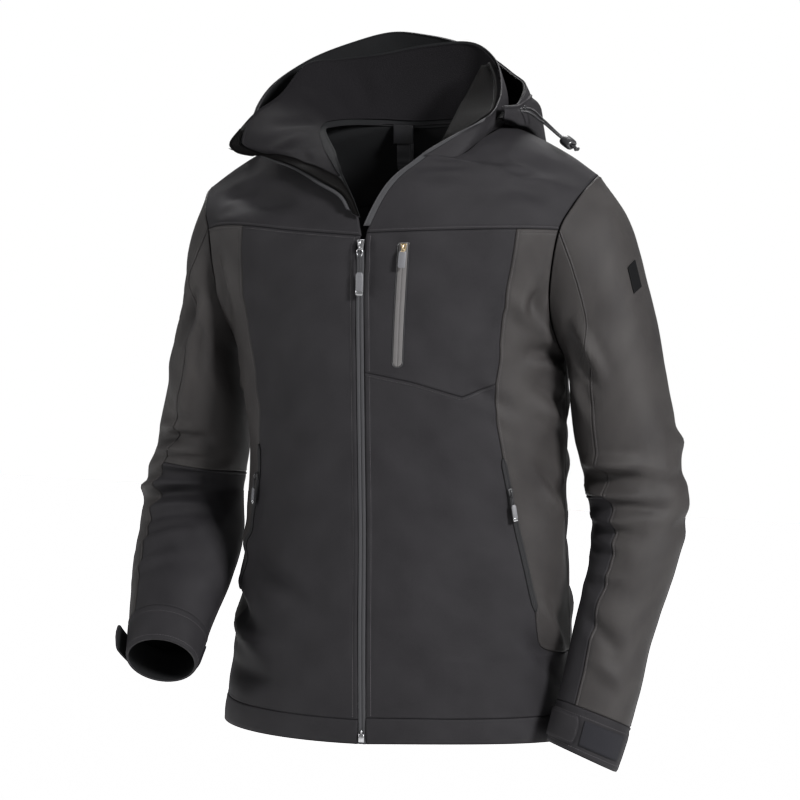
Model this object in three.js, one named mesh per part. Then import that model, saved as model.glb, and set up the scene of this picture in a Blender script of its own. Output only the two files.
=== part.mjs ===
// A men's hooded softshell jacket, worn and zipped to just below the yoke, with the collar lying open.
// Millimetres. +X is the wearer's left, -Y the front, +Z up; the origin is the middle of the neck base.
// Every cloth piece is a thin wall made from the points of a form, moved inwards by the cloth's thickness.
import * as THREE from "three";

// Driving sizes.
const CLOTH = 1.6; // bonded softshell
const FLEECE = 1.4; // inner collar
const TAPE = 1.1; // zip tape
const SEAM = 0.22; // each piece stops this far short of its seam line
const LAY = 0.35; // clearance under what lies on a panel
const ZIP_HALF = 4.4; // half width of the closed main zip between the front edges
const EDGE_HALF = 5.0; // the front edges stop this far from the centre line
const HEM_BAND = 30;
const CHEST_ZIP_HALF = 5.2;
const HAND_ZIP_HALF = 3.6;
const CORD = 2.6; // diameter

const v3 = (x, y, z) => new THREE.Vector3(x, y, z);
const mix = (a, b, t) => a + (b - a) * t;
const clamp = (x, lo, hi) => Math.min(hi, Math.max(lo, x));

// Rows of a table turned into objects with the named columns.
const table = (columns, rows) =>
  rows.map((row) => Object.fromEntries(columns.map((c, i) => [c, row[i]])));

// A value read from a two-column table by straight lines.
function along(pairs, x) {
  const up = pairs[0][0] < pairs[pairs.length - 1][0];
  const list = up ? pairs : [...pairs].reverse();
  if (x <= list[0][0]) return list[0][1];
  for (let i = 1; i < list.length; i++)
    if (x <= list[i][0])
      return mix(list[i - 1][1], list[i][1], (x - list[i - 1][0]) / (list[i][0] - list[i - 1][0]));
  return list[list.length - 1][1];
}

// The bundle of control points at row position v, smooth through uneven rows. `corners` lists, for a
// control, the rows where its curve turns a corner, with the way it leaves and arrives there.
function loft(rows, v, corners = {}) {
  const n = rows.length;
  const i = clamp(Math.floor(v), 0, n - 2);
  const t = v - i;
  const chord = (a) => {
    let sum = 0;
    rows[a].forEach((p, c) => (sum += p.distanceTo(rows[a + 1][c])));
    return sum / rows[a].length + 1e-6;
  };
  const d1 = chord(i);
  const d0 = i > 0 ? chord(i - 1) : d1;
  const d2 = i < n - 2 ? chord(i + 1) : d1;
  const t2 = t * t;
  const t3 = t2 * t;
  return rows[i].map((p0, c) => {
    const p1 = rows[i + 1][c];
    const step = p1.clone().sub(p0);
    const m0 = step.clone();
    const m1 = step.clone();
    const bend = corners[c] || {};
    if (bend[i] && bend[i].leave) m0.copy(bend[i].leave);
    else if (i > 0 && !bend[i])
      m0.multiplyScalar(d0 / (d0 + d1)).addScaledVector(p0.clone().sub(rows[i - 1][c]), (d1 * d1) / d0 / (d0 + d1));
    if (bend[i + 1] && bend[i + 1].arrive) m1.copy(bend[i + 1].arrive);
    else if (i < n - 2 && !bend[i + 1])
      m1.multiplyScalar(d2 / (d1 + d2)).addScaledVector(rows[i + 2][c].clone().sub(p1), (d1 * d1) / d2 / (d1 + d2));
    return p0.clone().multiplyScalar(2 * t3 - 3 * t2 + 1)
      .addScaledVector(m0, t3 - 2 * t2 + t)
      .addScaledVector(p1, 3 * t2 - 2 * t3)
      .addScaledVector(m1, t3 - t2);
  });
}

// A cubic Bezier through four control points.
function bezier([a, b, c, d], t) {
  const s = 1 - t;
  return a.clone().multiplyScalar(s * s * s)
    .addScaledVector(b, 3 * s * s * t)
    .addScaledVector(c, 3 * s * t * t)
    .addScaledVector(d, t * t * t);
}

// The unit normal of a surface function, turned to the side that `outward` says.
function normalOf(surface, a, b, outward) {
  const e = 0.004;
  const du = surface(a + e, b).sub(surface(a - e, b));
  const dv = surface(a, b + e).sub(surface(a, b - e));
  const n = du.cross(dv).normalize();
  return n.multiplyScalar(outward);
}

// The body form. A row runs from the centre line (or the open edge, or the neckline) to the side
// seam or the armhole: rows 0 to 12 climb the front to the shoulder line, 12 to 24 go down the back.
const COLUMNS = ["cx", "cy", "cz", "flat", "ex", "ey", "ez", "turn", "heading", "dropA", "dropB"];
const BODY_LEFT = table(COLUMNS, [
  [0, -138, -686, 120, 213, 4, -697, 80, 90, -0.9, 0.05],
  [0, -139, -560, 115, 212, 4, -565, 78, 90, 0.3, 0.7],
  [0, -136, -430, 108, 205, 4, -432, 74, 90, 0.3, 0.7],
  [0, -139, -330, 110, 206, 2, -330, 74, 90, 0.3, 0.7],
  [0, -142, -240, 115, 205, 0, -236, 70, 88, 0.3, 0.7],
  [0, -143, -172, 115, 200, -56, -174, 42, 52, 0.3, 0.7],
  [0, -141, -125, 112, 205, -67, -128, 40, 48, 0.3, 0.7],
  [6, -138, -86, 105, 213, -65, -83.5, 42, 46, 3, 3],
  [36, -123, -27, 72, 222, -48, -60, 46, 40, 0.12, 0.5],
  [70, -108, 2, 48, 230, -31, -44, 50, 28, 0.12, 0.5],
  [99, -95, 0, 34, 235, -15, -35, 50, 14, 0.1, 0.45],
  [118, -50, 19, 32, 238, -2, -29, 46, 4, 0.1, 0.45],
  [124, 8, 28, 34, 240, 9, -27, 42, -2, 0.1, 0.45],
  [102, 46, 28, 45, 239, 20, -30, 46, -8, 0.1, 0.5],
  [58, 71, 27, 62, 236, 32, -38, 48, -20, 0.12, 0.5],
  [0, 79, 22, 92, 230, 46, -52, 46, -34, 0.12, 0.5],
  [0, 106, -20, 105, 219, 62, -76, 42, -46, 0.2, 0.6],
  [0, 124, -72, 110, 209, 70, -106, 40, -50, 0.3, 0.7],
  [0, 134, -130, 112, 202, 66, -150, 42, -56, 0.3, 0.7],
  [0, 136, -180, 112, 200, 48, -192, 50, -70, 0.3, 0.7],
  [0, 132, -240, 112, 205, 0, -236, 66, -90, 0.3, 0.7],
  [0, 122, -330, 108, 206, 2, -330, 64, -90, 0.3, 0.7],
  [0, 114, -432, 106, 205, 4, -432, 62, -90, 0.3, 0.7],
  [0, 124, -566, 115, 212, 4, -565, 68, -90, 0.3, 0.7],
  [0, 132, -710, 120, 213, 4, -697, 72, -90, 0.3, 0.7],
]);
const BODY_RIGHT = table(COLUMNS, [
  [0, -138, -686, 120, -219, 4, -701, 80, 90, 0.3, 0.7],
  [0, -139, -560, 112, -200, 4, -565, 78, 90, 0.3, 0.7],
  [0, -136, -430, 104, -184, 4, -432, 74, 90, 0.3, 0.7],
  [0, -139, -330, 106, -187, 2, -330, 74, 90, 0.3, 0.7],
  [0, -142, -240, 112, -199, 0, -240, 70, 88, 0.3, 0.7],
  [0, -143, -172, 115, -202, -56, -180, 42, 52, 0.3, 0.7],
  [0, -141, -125, 112, -209, -66, -138, 40, 48, 0.3, 0.7],
  [0, -138, -89, 105, -215, -64, -96, 42, 46, -0.2, -1.2],
  [-14, -119, -55, 84, -226, -45, -80, 46, 40, 0.4, 0.7],
  [-34, -99, -33, 66, -232, -28, -68, 50, 28, 0.4, 0.6],
  [-56, -76, -16, 56, -236, -14, -61, 50, 14, 0.3, 0.55],
  [-76, -44, 0, 48, -238, -4, -57, 50, 4, 0.15, 0.5],
  [-98, 6, 16, 42, -239, 6, -55, 46, -2, 0.1, 0.45],
  [-99, 46, 21, 46, -238, 16, -57, 46, -8, 0.1, 0.5],
  [-62, 72, 23, 64, -236, 28, -63, 48, -20, 0.12, 0.5],
  [0, 79, 22, 94, -230, 44, -74, 46, -34, 0.12, 0.5],
  [0, 106, -20, 105, -221, 60, -92, 42, -46, 0.2, 0.6],
  [0, 124, -72, 110, -211, 69, -114, 40, -50, 0.3, 0.7],
  [0, 134, -130, 112, -203, 66, -154, 42, -56, 0.3, 0.7],
  [0, 136, -180, 112, -200, 48, -194, 50, -70, 0.3, 0.7],
  [0, 132, -240, 110, -199, 0, -240, 66, -90, 0.3, 0.7],
  [0, 122, -330, 104, -187, 2, -330, 64, -90, 0.3, 0.7],
  [0, 114, -432, 102, -184, 4, -432, 62, -90, 0.3, 0.7],
  [0, 124, -566, 112, -200, 4, -565, 68, -90, 0.3, 0.7],
  [0, 132, -710, 120, -219, 4, -701, 72, -90, 0.3, 0.7],
]);
const ARMPIT_ROW = 4;
const YOKE_ROW = 7;
const OPEN_EDGE_ROW = 9; // the open zip edge ends here and the neckline begins
const SHOULDER_ROW = 12;
const NECK_BACK_ROW = 15;
const BACK_YOKE_ROW = 17;
const BACK_ARMPIT_ROW = 20;
const LAST_ROW = 24;

const DEG = Math.PI / 180;
const controls = (row) => {
  const side = Math.sign(row.ex);
  const c = v3(row.cx, row.cy, row.cz);
  const e = v3(row.ex, row.ey, row.ez);
  const a = v3(row.cx + side * row.flat, row.cy, mix(row.cz, row.ez, row.dropA));
  const b = v3(
    row.ex - side * row.turn * Math.cos(row.heading * DEG),
    row.ey - row.turn * Math.sin(row.heading * DEG),
    mix(row.cz, row.ez, row.dropB),
  );
  return [c, a, b, e];
};
// The armhole turns at the armpit, and the front edge where the neckline begins.
const BODY_CORNERS = {
  0: { [OPEN_EDGE_ROW]: {}, [NECK_BACK_ROW]: {} },
  3: { [ARMPIT_ROW]: { leave: v3(0, -75, 12) }, [BACK_ARMPIT_ROW]: { arrive: v3(0, -65, -10) } },
};
const LEFT = { rows: BODY_LEFT.map(controls), side: 1 };
const RIGHT = { rows: BODY_RIGHT.map(controls), side: -1 };

// The largest folds of the body: soft ridges and hollows laid along a line in the form.
const FOLD_COLUMNS = ["u0", "v0", "u1", "v1", "width", "height"];
const FOLDS_LEFT = table(FOLD_COLUMNS, [
  [0.78, 1.55, 1.0, 2.35, 0.10, 5],
  [0.55, 2.1, 0.98, 3.0, 0.09, -4],
  [0.72, 2.9, 0.98, 3.9, 0.08, 4],
  [0.45, 4.6, 0.8, 6.2, 0.10, -3.5],
  [0.25, 7.8, 0.7, 8.3, 0.09, -3],
]);
const FOLDS_RIGHT = table(FOLD_COLUMNS, [
  [0.7, 1.5, 0.98, 2.2, 0.10, 4],
  [0.5, 2.2, 0.96, 3.1, 0.09, -4],
  [0.3, 4.8, 0.75, 6.4, 0.10, -3.5],
  [0.25, 7.7, 0.75, 9.2, 0.12, -5],
]);
function foldHeight(folds, u, v, rowScale = 0.25) {
  let sum = 0;
  for (const f of folds) {
    const du = f.u1 - f.u0;
    const dv = (f.v1 - f.v0) * rowScale;
    const length2 = du * du + dv * dv;
    const t = clamp(((u - f.u0) * du + (v - f.v0) * rowScale * dv) / length2, 0, 1);
    const ox = u - f.u0 - t * du;
    const oy = (v - f.v0) * rowScale - t * dv;
    const away = (ox * ox + oy * oy) / (f.width * f.width);
    sum += f.height * Math.exp(-away) * (0.35 + 0.65 * Math.sin(Math.PI * clamp(t, 0.05, 0.95)));
  }
  return sum;
}

const smooth = (form, u, v) => bezier(loft(form.rows, v, BODY_CORNERS), u);
const bodyNormal = (form, u, v) =>
  normalOf((a, b) => smooth(form, a, b), clamp(u, 0.006, 0.994), clamp(v, 0.006, LAST_ROW - 0.006), form.side);
function body(form, u, v) {
  const folds = form === LEFT ? FOLDS_LEFT : FOLDS_RIGHT;
  const fade = Math.min(1, (1 - u) / 0.08, Math.abs(v - YOKE_ROW) / 0.4 + 0.2);
  const n = bodyNormal(form, u, v);
  return { p: smooth(form, u, v).addScaledVector(n, foldHeight(folds, u, v) * Math.max(0, fade)), n };
}
function across(form, v, x) {
  let lo = 0;
  let hi = 1;
  const rows = loft(form.rows, v, BODY_CORNERS);
  for (let k = 0; k < 26; k++) {
    const mid = (lo + hi) / 2;
    if (Math.abs(bezier(rows, mid).x) < x) lo = mid;
    else hi = mid;
  }
  return (lo + hi) / 2;
}
function rowAt(form, u, z, lo, hi) {
  const rising = smooth(form, u, hi).z > smooth(form, u, lo).z;
  for (let k = 0; k < 26; k++) {
    const mid = (lo + hi) / 2;
    if (smooth(form, u, mid).z < z === rising) lo = mid;
    else hi = mid;
  }
  return (lo + hi) / 2;
}

// One closed thin wall from a grid of points with normals. Edges are drawn back from the seam line.
function wall(grid, thickness, { lift = 0, inset = SEAM, round = false } = {}) {
  const rows = grid.length;
  const cols = grid[0].length;
  const outer = grid.map((line) => line.map(({ p, n }) => p.clone().addScaledVector(n, lift)));
  const inner = grid.map((line) => line.map(({ p, n }) => p.clone().addScaledVector(n, lift - thickness)));
  for (const sheet of [outer, inner]) {
    const old = sheet.map((line) => line.map((p) => p.clone()));
    const pull = (i, j, ii, jj) => {
      const step = old[ii][jj].clone().sub(old[i][j]);
      const size = step.length();
      if (size > 1e-6) sheet[i][j].addScaledVector(step, Math.min(0.45, inset / size));
    };
    for (let j = 0; j < cols; j++) {
      pull(0, j, 1, j);
      pull(rows - 1, j, rows - 2, j);
    }
    if (!round)
      for (let i = 0; i < rows; i++) {
        pull(i, 0, i, 1);
        pull(i, cols - 1, i, cols - 2);
      }
  }
  const points = [];
  const index = [];
  const add = (p) => points.push(p.x, p.y, p.z) / 3 - 1;
  const a = outer.map((line) => line.map(add));
  const b = inner.map((line) => line.map(add));
  const quad = (p, q, r, s) => index.push(p, q, r, p, r, s);
  const last = round ? cols : cols - 1;
  for (let i = 0; i < rows - 1; i++)
    for (let j = 0; j < last; j++) {
      const k = (j + 1) % cols;
      quad(a[i][j], a[i][k], a[i + 1][k], a[i + 1][j]);
      quad(b[i][j], b[i + 1][j], b[i + 1][k], b[i][k]);
    }
  for (let j = 0; j < last; j++) {
    const k = (j + 1) % cols;
    quad(a[0][j], b[0][j], b[0][k], a[0][k]);
    quad(a[rows - 1][j], a[rows - 1][k], b[rows - 1][k], b[rows - 1][j]);
  }
  if (!round)
    for (let i = 0; i < rows - 1; i++) {
      quad(a[i][0], a[i + 1][0], b[i + 1][0], b[i][0]);
      quad(a[i][cols - 1], b[i][cols - 1], b[i + 1][cols - 1], a[i + 1][cols - 1]);
    }
  return closedGeometry(points, index);
}
function closedGeometry(points, index) {
  let volume = 0;
  const at = (i) => v3(points[3 * i], points[3 * i + 1], points[3 * i + 2]);
  for (let k = 0; k < index.length; k += 3)
    volume += at(index[k]).dot(at(index[k + 1]).cross(at(index[k + 2])));
  if (volume < 0)
    for (let k = 0; k < index.length; k += 3) [index[k + 1], index[k + 2]] = [index[k + 2], index[k + 1]];
  const g = new THREE.BufferGeometry();
  g.setAttribute("position", new THREE.BufferAttribute(new Float32Array(points), 3));
  g.setIndex(index);
  g.computeVertexNormals();
  return g;
}

const jacket = new THREE.Group();
jacket.name = "hooded_softshell_jacket";
const COLOURS = { black: 0x323132, grey: 0x444141, fleece: 0x1c1b1d, tape: 0x676465, metal: 0xa9987a, plastic: 0x161617 };
function piece(name, colour, geometry) {
  const mesh = new THREE.Mesh(geometry, new THREE.MeshStandardMaterial({ name: colour, color: COLOURS[colour], roughness: 0.9 }));
  mesh.name = name;
  jacket.add(mesh);
}
const steps = (n) => Array.from({ length: n + 1 }, (_, i) => i / n);

// Seams down the body, as distance from the centre line at each height.
const SIDE_SEAM_LEFT = [[-88, 172], [-150, 163], [-205, 154], [-258, 147.5], [-290, 147], [-347, 155], [-440, 170], [-532, 187], [-556, 190]];
const SIDE_SEAM_RIGHT = [[-95, 156], [-140, 163], [-205, 156], [-285, 144], [-351, 145], [-430, 160], [-532, 180], [-556, 183]];
const BACK_SEAM = [[-188, 199], [-215, 186], [-260, 170], [-330, 155], [-440, 152], [-540, 160], [-556, 162]];
const PANEL_FOOT = [[-556, 0], [-570, 0.06], [-580, 0.2], [-586, 0.48], [-589, 1]]; // height, share of the way to the side
const CHEST_SEAM = [[0, -246], [0.35, -256], [0.72, -273], [1, -259]]; // share of the panel width, height

const BODY_LEVELS = [-532, -480, -430, -390, -347, -300, -259, -215, -172, -128, -103];

// Row positions and side positions of a front's outer boundary, from the hem band up to the yoke seam.
function frontStations(form, seam) {
  const hemTop = rowAt(form, 0.5, smooth(form, 0.5, 0).z + HEM_BAND, 0, 2);
  const list = [
    { v: hemTop, u: 1 },
    { v: rowAt(form, 0.97, -625, 0, 2), u: 1 },
  ];
  for (const [z, share] of [...PANEL_FOOT].reverse()) {
    const v = rowAt(form, 0.9, z, 0, 2);
    const u = across(form, v, along(seam, z));
    list.push({ v, u: mix(u, 1, share), foot: true });
  }
  for (const z of BODY_LEVELS) {
    const v = rowAt(form, 0.8, z, 1, 7);
    list.push({ v, u: across(form, v, along(seam, z)) });
  }
  list.push({ v: YOKE_ROW, u: across(form, YOKE_ROW, along(seam, form === LEFT ? -88 : -95)) });
  return { list, hemTop };
}
const L = frontStations(LEFT, SIDE_SEAM_LEFT);
const R = frontStations(RIGHT, SIDE_SEAM_RIGHT);

// Fronts, from the zip to the side seam line.
const cols13 = [0, 0.07, 0.15, 0.24, 0.33, 0.42, 0.51, 0.6, 0.69, 0.78, 0.87, 0.94, 1];
// The front edge keeps off the zip up to the slider, then meets the centre line at the yoke.
const edgeU = (form, v) => v > YOKE_ROW - 0.1 ? 0.002 : across(form, v, EDGE_HALF);
const frontPoint = (form, station, s) => body(form, mix(edgeU(form, station.v), station.u, s), station.v);
piece("front_right", "black", wall(R.list.map((q) => cols13.map((s) => frontPoint(RIGHT, q, s))), CLOTH));

// On the wearer's left a slanted seam parts the chest from the lower front.
const seamRow = (s) => rowAt(LEFT, 0.1 + 0.7 * s, along(CHEST_SEAM, s), 1, 7);
const seamU = (s) => {
  const v = seamRow(s);
  const z = smooth(LEFT, 0.8, v).z;
  return mix(across(LEFT, v, EDGE_HALF), across(LEFT, v, along(SIDE_SEAM_LEFT, s === 1 ? -259 : z)), s);
};
const chestLine = cols13.map((s) => ({ s, v: seamRow(s), u: seamU(s) }));
const lowerRows = L.list.filter((q) => q.v < seamRow(1) - 0.05);
const upperRows = L.list.filter((q) => q.v > seamRow(1) + 0.05);
const blendRow = (q, edgeV) => cols13.map((s, j) => {
  const shift = edgeV(q, j);
  return body(LEFT, mix(edgeU(LEFT, q.v), q.u, s), q.v + shift);
});
// The rows next to the slanted seam lean with it, so no row crosses it.
const lean = (q, j, reach) => (chestLine[j].v - seamRow(1)) * clamp(1 - Math.abs(q.v - seamRow(1)) / reach, 0, 1);
piece("front_left_lower", "black", wall([
  ...lowerRows.map((q) => blendRow(q, (r, j) => lean(r, j, 1.2))),
  chestLine.map((c) => body(LEFT, c.u, c.v)),
], CLOTH));
piece("front_left_chest", "black", wall([
  chestLine.map((c) => body(LEFT, c.u, c.v)),
  ...upperRows.map((q) => blendRow(q, (r, j) => lean(r, j, 1.6))),
], CLOTH));

// Grey side panels, front part, from the yoke seam to the rounded foot.
function sidePanel(form, stations) {
  const foot = stations.list.filter((q) => q.foot).reverse();
  const rows = stations.list.filter((q) => !q.foot && q.v > foot[0].v);
  const shares = foot.map((q) => (q.u - foot[0].u) / (1 - foot[0].u));
  const cols = [shares[0], shares[1], shares[2], shares[3], 0.75, 1];
  const footV = [foot[0].v, foot[1].v, foot[2].v, foot[3].v, mix(foot[3].v, foot[4].v, 0.45), foot[4].v];
  const top = rows.map((q) => cols.map((s) => body(form, mix(q.u, 1, s), q.v)));
  // Above the armpit the outer end of each row is the armhole.
  const footRow = cols.map((s, j) => body(form, mix(foot[0].u, 1, s), footV[j]));
  return [footRow, ...top];
}
piece("side_panel_left", "grey", wall(sidePanel(LEFT, L), CLOTH));
piece("side_panel_right", "grey", wall(sidePanel(RIGHT, R), CLOTH));

// Back side panels, from the armhole to the same foot, and the back between them.
function backStations(form) {
  const hemTop = LAST_ROW - (form === LEFT ? L : R).hemTop;
  const list = [{ v: BACK_YOKE_ROW, u: 1 }, { v: 18, u: 1 }, { v: 18.6, u: 1 }];
  for (const z of [-192, -215, -240, -290, -347, -390, -430, -480, -532, -556]) {
    const v = rowAt(form, 0.85, z, 18.4, 23.6);
    list.push({ v, u: z === -192 ? 0.993 : across(form, v, along(BACK_SEAM, z) - (form === LEFT ? 0 : 6)), panel: true });
  }
  const start = list[list.length - 1].u;
  for (const [z, share] of PANEL_FOOT.slice(1))
    list.push({ v: rowAt(form, 0.9, z, 22, 23.8), u: mix(start, 1, share), foot: true });
  list.push({ v: rowAt(form, 0.97, -625, 22, 23.9), u: 1 });
  list.push({ v: hemTop, u: 1 });
  return list;
}
const BL = backStations(LEFT);
const BR = backStations(RIGHT);
const half = [0, 0.14, 0.28, 0.42, 0.56, 0.7, 0.84, 1];
piece("back_panel", "black", wall(BL.map((q, i) => [
  ...half.slice(1).reverse().map((s) => body(RIGHT, s * BR[i].u, BR[i].v)),
  ...half.map((s) => body(LEFT, s * q.u, q.v)),
]), CLOTH));
function backSide(form, list) {
  const rows = list.filter((q) => q.panel);
  const foot = list.filter((q) => q.foot);
  const start = rows[rows.length - 1];
  const shares = [0, ...foot.map((q) => (q.u - start.u) / (1 - start.u))];
  const cols = [shares[0], shares[1], shares[2], shares[3], 0.75, 1];
  const footV = [start.v, foot[0].v, foot[1].v, foot[2].v, mix(foot[2].v, foot[3].v, 0.45), foot[3].v];
  const above = rows.slice(0, -1).map((q) => cols.map((s) => body(form, mix(q.u, 1, s), q.v)));
  return [...above, cols.map((s, j) => body(form, mix(start.u, 1, s), footV[j]))];
}
piece("side_back_left", "grey", wall(backSide(LEFT, BL), CLOTH));
piece("side_back_right", "grey", wall(backSide(RIGHT, BR), CLOTH));

// Yokes run from the front seam over the shoulder to the back seam line at the neck and armhole.
const yokeRows = [7, 7.5, 8, 8.5, 9, 9.5, 10, 10.5, 11, 11.5, 12, 12.5, 13];
const yokeCols = [0, 0.14, 0.28, 0.42, 0.56, 0.7, 0.85, 1];
piece("yoke_left", "black", wall(yokeRows.map((v) => yokeCols.map((s) => body(LEFT, s, v))), CLOTH));
piece("yoke_right", "black", wall(yokeRows.map((v) => yokeCols.map((s) => body(RIGHT, s, v))), CLOTH));
// The back yoke hangs from the shoulder seams and the neckline as one piece.
const NECK_SHARE = 0.36;
const backYokeHalf = [0, 0.12, 0.24, ...yokeCols.map((u) => mix(NECK_SHARE, 1, u))].map((s) => ({
  u: s <= NECK_SHARE ? 0 : (s - NECK_SHARE) / (1 - NECK_SHARE),
  v: s <= NECK_SHARE ? mix(NECK_BACK_ROW, 13, s / NECK_SHARE) : 13,
  foot: s,
}));
const backYokeLine = (t) => {
  const line = (form) => backYokeHalf.map((q) => body(form, mix(q.u, q.foot, t), mix(q.v, BACK_YOKE_ROW, t)));
  return [...line(RIGHT).slice(1).reverse(), ...line(LEFT)];
};
piece("back_yoke", "black", wall([0, 0.16, 0.33, 0.5, 0.67, 0.84, 1].map(backYokeLine), CLOTH));

// Hem bands, a little proud of the panels.
const hemCols = [0, 0.12, 0.25, 0.38, 0.5, 0.62, 0.74, 0.86, 1];
function hemBand(form, from, to, u0) {
  return [0, 0.34, 0.68, 1].map((t) => hemCols.map((s) => {
    const v = mix(from, to, t);
    const { p, n } = body(form, mix(u0, 1, s), v);
    return { p: p.addScaledVector(n, 0.4 + 1.3 * Math.sin(Math.PI * clamp(t, 0.08, 0.92))), n };
  }));
}
piece("hem_front_left", "black", wall(hemBand(LEFT, 0, L.hemTop, across(LEFT, 0, EDGE_HALF)), 2.2));
piece("hem_front_right", "black", wall(hemBand(RIGHT, 0, R.hemTop, across(RIGHT, 0, EDGE_HALF)), 2.2));
const hemBackLeft = hemBand(LEFT, LAST_ROW, LAST_ROW - L.hemTop, 0);
const hemBackRight = hemBand(RIGHT, LAST_ROW, LAST_ROW - R.hemTop, 0);
piece("hem_back", "black", wall(hemBackLeft.map((line, i) => [...hemBackRight[i].slice(1).reverse(), ...line]), 2.2));

// Sleeve forms. Ring 0 is the armhole; the others are ovals between an outer and an inner point,
// `deep` to the front and back of their middle, tipped forward by `pitch`.
const RING_COLUMNS = ["ox", "oy", "oz", "ix", "iy", "iz", "deep", "pitch"];
const RINGS_LEFT = table(RING_COLUMNS, [
  [270, 6, -68, 208, 2, -242, 74, 0],
  [299, 8, -152, 212, 3, -268, 72, 0],
  [315, 10, -220, 213, 5, -300, 69, 0],
  [329, 13, -290, 217, 8, -336, 65, 0],
  [343, 15, -350, 227, 10, -376, 61, 2],
  [351, 14, -408, 235, 8, -424, 57, 8],
  [340, -2, -480, 240, -8, -478, 54, 14],
  [319, -26, -561, 228, -28, -547, 50, 18],
  [305, -48, -640, 217, -48, -616, 46, 20],
  [288, -68, -713, 205, -66, -683, 42.5, 20],
]);
const RINGS_RIGHT = table(RING_COLUMNS, [
  [-252, 5, -100, -204, 0, -250, 74, 0],
  [-263, 10, -168, -203, 3, -276, 72, 0],
  [-280, 16, -228, -200, 9, -306, 69, 0],
  [-298, 26, -296, -202, 17, -342, 65, 2],
  [-317, 36, -360, -207, 27, -382, 61, 6],
  [-337, 38, -425, -215, 32, -424, 58, 16],
  [-336, 18, -474, -206, 12, -464, 55, 34],
  [-325, -38, -521, -201, -44, -510, 52, 50],
  [-304, -100, -565, -202, -106, -553, 47, 52],
  [-285, -155, -610, -203, -158, -590, 41, 52],
]);
const RING_CONTROLS = 24;
// The armhole is read at the ring's own angles: 0 over the shoulder, 90 front, 180 armpit, 270 back.
// The row position is spread so that equal angles step equally round the armhole.
function spread(form, angle) {
  const key = form.side;
  if (!spread.tables) spread.tables = {};
  if (!spread.tables[key]) {
    const half = (from, to) => {
      const list = [[0, from]];
      let length = 0;
      let last = smooth(form, 1, from);
      for (let k = 1; k <= 80; k++) {
        const v = mix(from, to, k / 80);
        const p = smooth(form, 1, v);
        length += p.distanceTo(last);
        last = p;
        list.push([length, v]);
      }
      return list.map(([d, v]) => [d / length, v]);
    };
    spread.tables[key] = [half(SHOULDER_ROW, ARMPIT_ROW), half(BACK_ARMPIT_ROW, SHOULDER_ROW)];
  }
  const a = ((angle % 360) + 360) % 360;
  return a <= 180 ? along(spread.tables[key][0], a / 180) : along(spread.tables[key][1], (a - 180) / 180);
}
function sleeveForm(form, rings) {
  const rows = [Array.from({ length: RING_CONTROLS }, (_, k) => {
    const angle = (k * 360) / RING_CONTROLS;
    return smooth(form, 1, spread(form, angle)).add(v3(form.side * 0.9, 0, 0));
  })];
  for (const r of rings) {
    const o = v3(r.ox, r.oy, r.oz);
    const i = v3(r.ix, r.iy, r.iz);
    const middle = o.clone().add(i).multiplyScalar(0.5);
    const reach = o.clone().sub(i).multiplyScalar(0.5);
    const front = v3(0, -Math.cos(r.pitch * DEG), Math.sin(r.pitch * DEG));
    front.addScaledVector(reach, -front.dot(reach) / reach.lengthSq()).normalize();
    rows.push(Array.from({ length: RING_CONTROLS }, (_, k) => {
      const angle = (k * 2 * Math.PI) / RING_CONTROLS;
      return middle.clone().addScaledVector(reach, Math.cos(angle)).addScaledVector(front, r.deep * Math.sin(angle));
    }));
  }
  return { rows, side: form.side };
}
const SLEEVE_LEFT = sleeveForm(LEFT, RINGS_LEFT);
const SLEEVE_RIGHT = sleeveForm(RIGHT, RINGS_RIGHT);
// A closed ring of points read at an angle, smooth between them.
function ringPoint(ring, angle) {
  const n = ring.length;
  const x = (((angle / 360) * n) % n + n) % n;
  const i = Math.floor(x);
  const t = x - i;
  const at = (k) => ring[(k + n) % n];
  const t2 = t * t;
  const t3 = t2 * t;
  return at(i - 1).clone().multiplyScalar((-t3 + 2 * t2 - t) / 2)
    .addScaledVector(at(i), (3 * t3 - 5 * t2 + 2) / 2)
    .addScaledVector(at(i + 1), (-3 * t3 + 4 * t2 + t) / 2)
    .addScaledVector(at(i + 2), (t3 - t2) / 2);
}
// Largest sleeve folds: angle and ring position of each end, half width in mm, height in mm.
const SLEEVE_FOLDS_LEFT = table(["a0", "w0", "a1", "w1", "width", "height"], [
  [150, 5.0, 60, 5.6, 13, -5],
  [165, 5.5, 70, 6.2, 12, 5],
  [175, 6.2, 80, 6.5, 12, -5],
  [140, 4.2, 70, 5.1, 14, 4],
  [20, 5.2, -50, 5.5, 15, -4],
  [110, 1.0, 60, 2.3, 18, -5],
  [165, 7.4, 60, 7.9, 12, 4],
]);
const SLEEVE_FOLDS_RIGHT = table(["a0", "w0", "a1", "w1", "width", "height"], [
  [110, 4.6, 20, 5.3, 14, -5],
  [150, 5.4, 60, 5.9, 12, 5],
  [160, 6.2, 40, 6.5, 12, -5],
  [100, 1.0, 55, 2.4, 18, -5],
  [150, 7.3, 50, 7.8, 12, 4],
  [20, 3.2, 90, 4.1, 16, 3.5],
]);
const sleeveSmooth = (form, angle, w) => ringPoint(loft(form.rows, w), angle);
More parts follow.
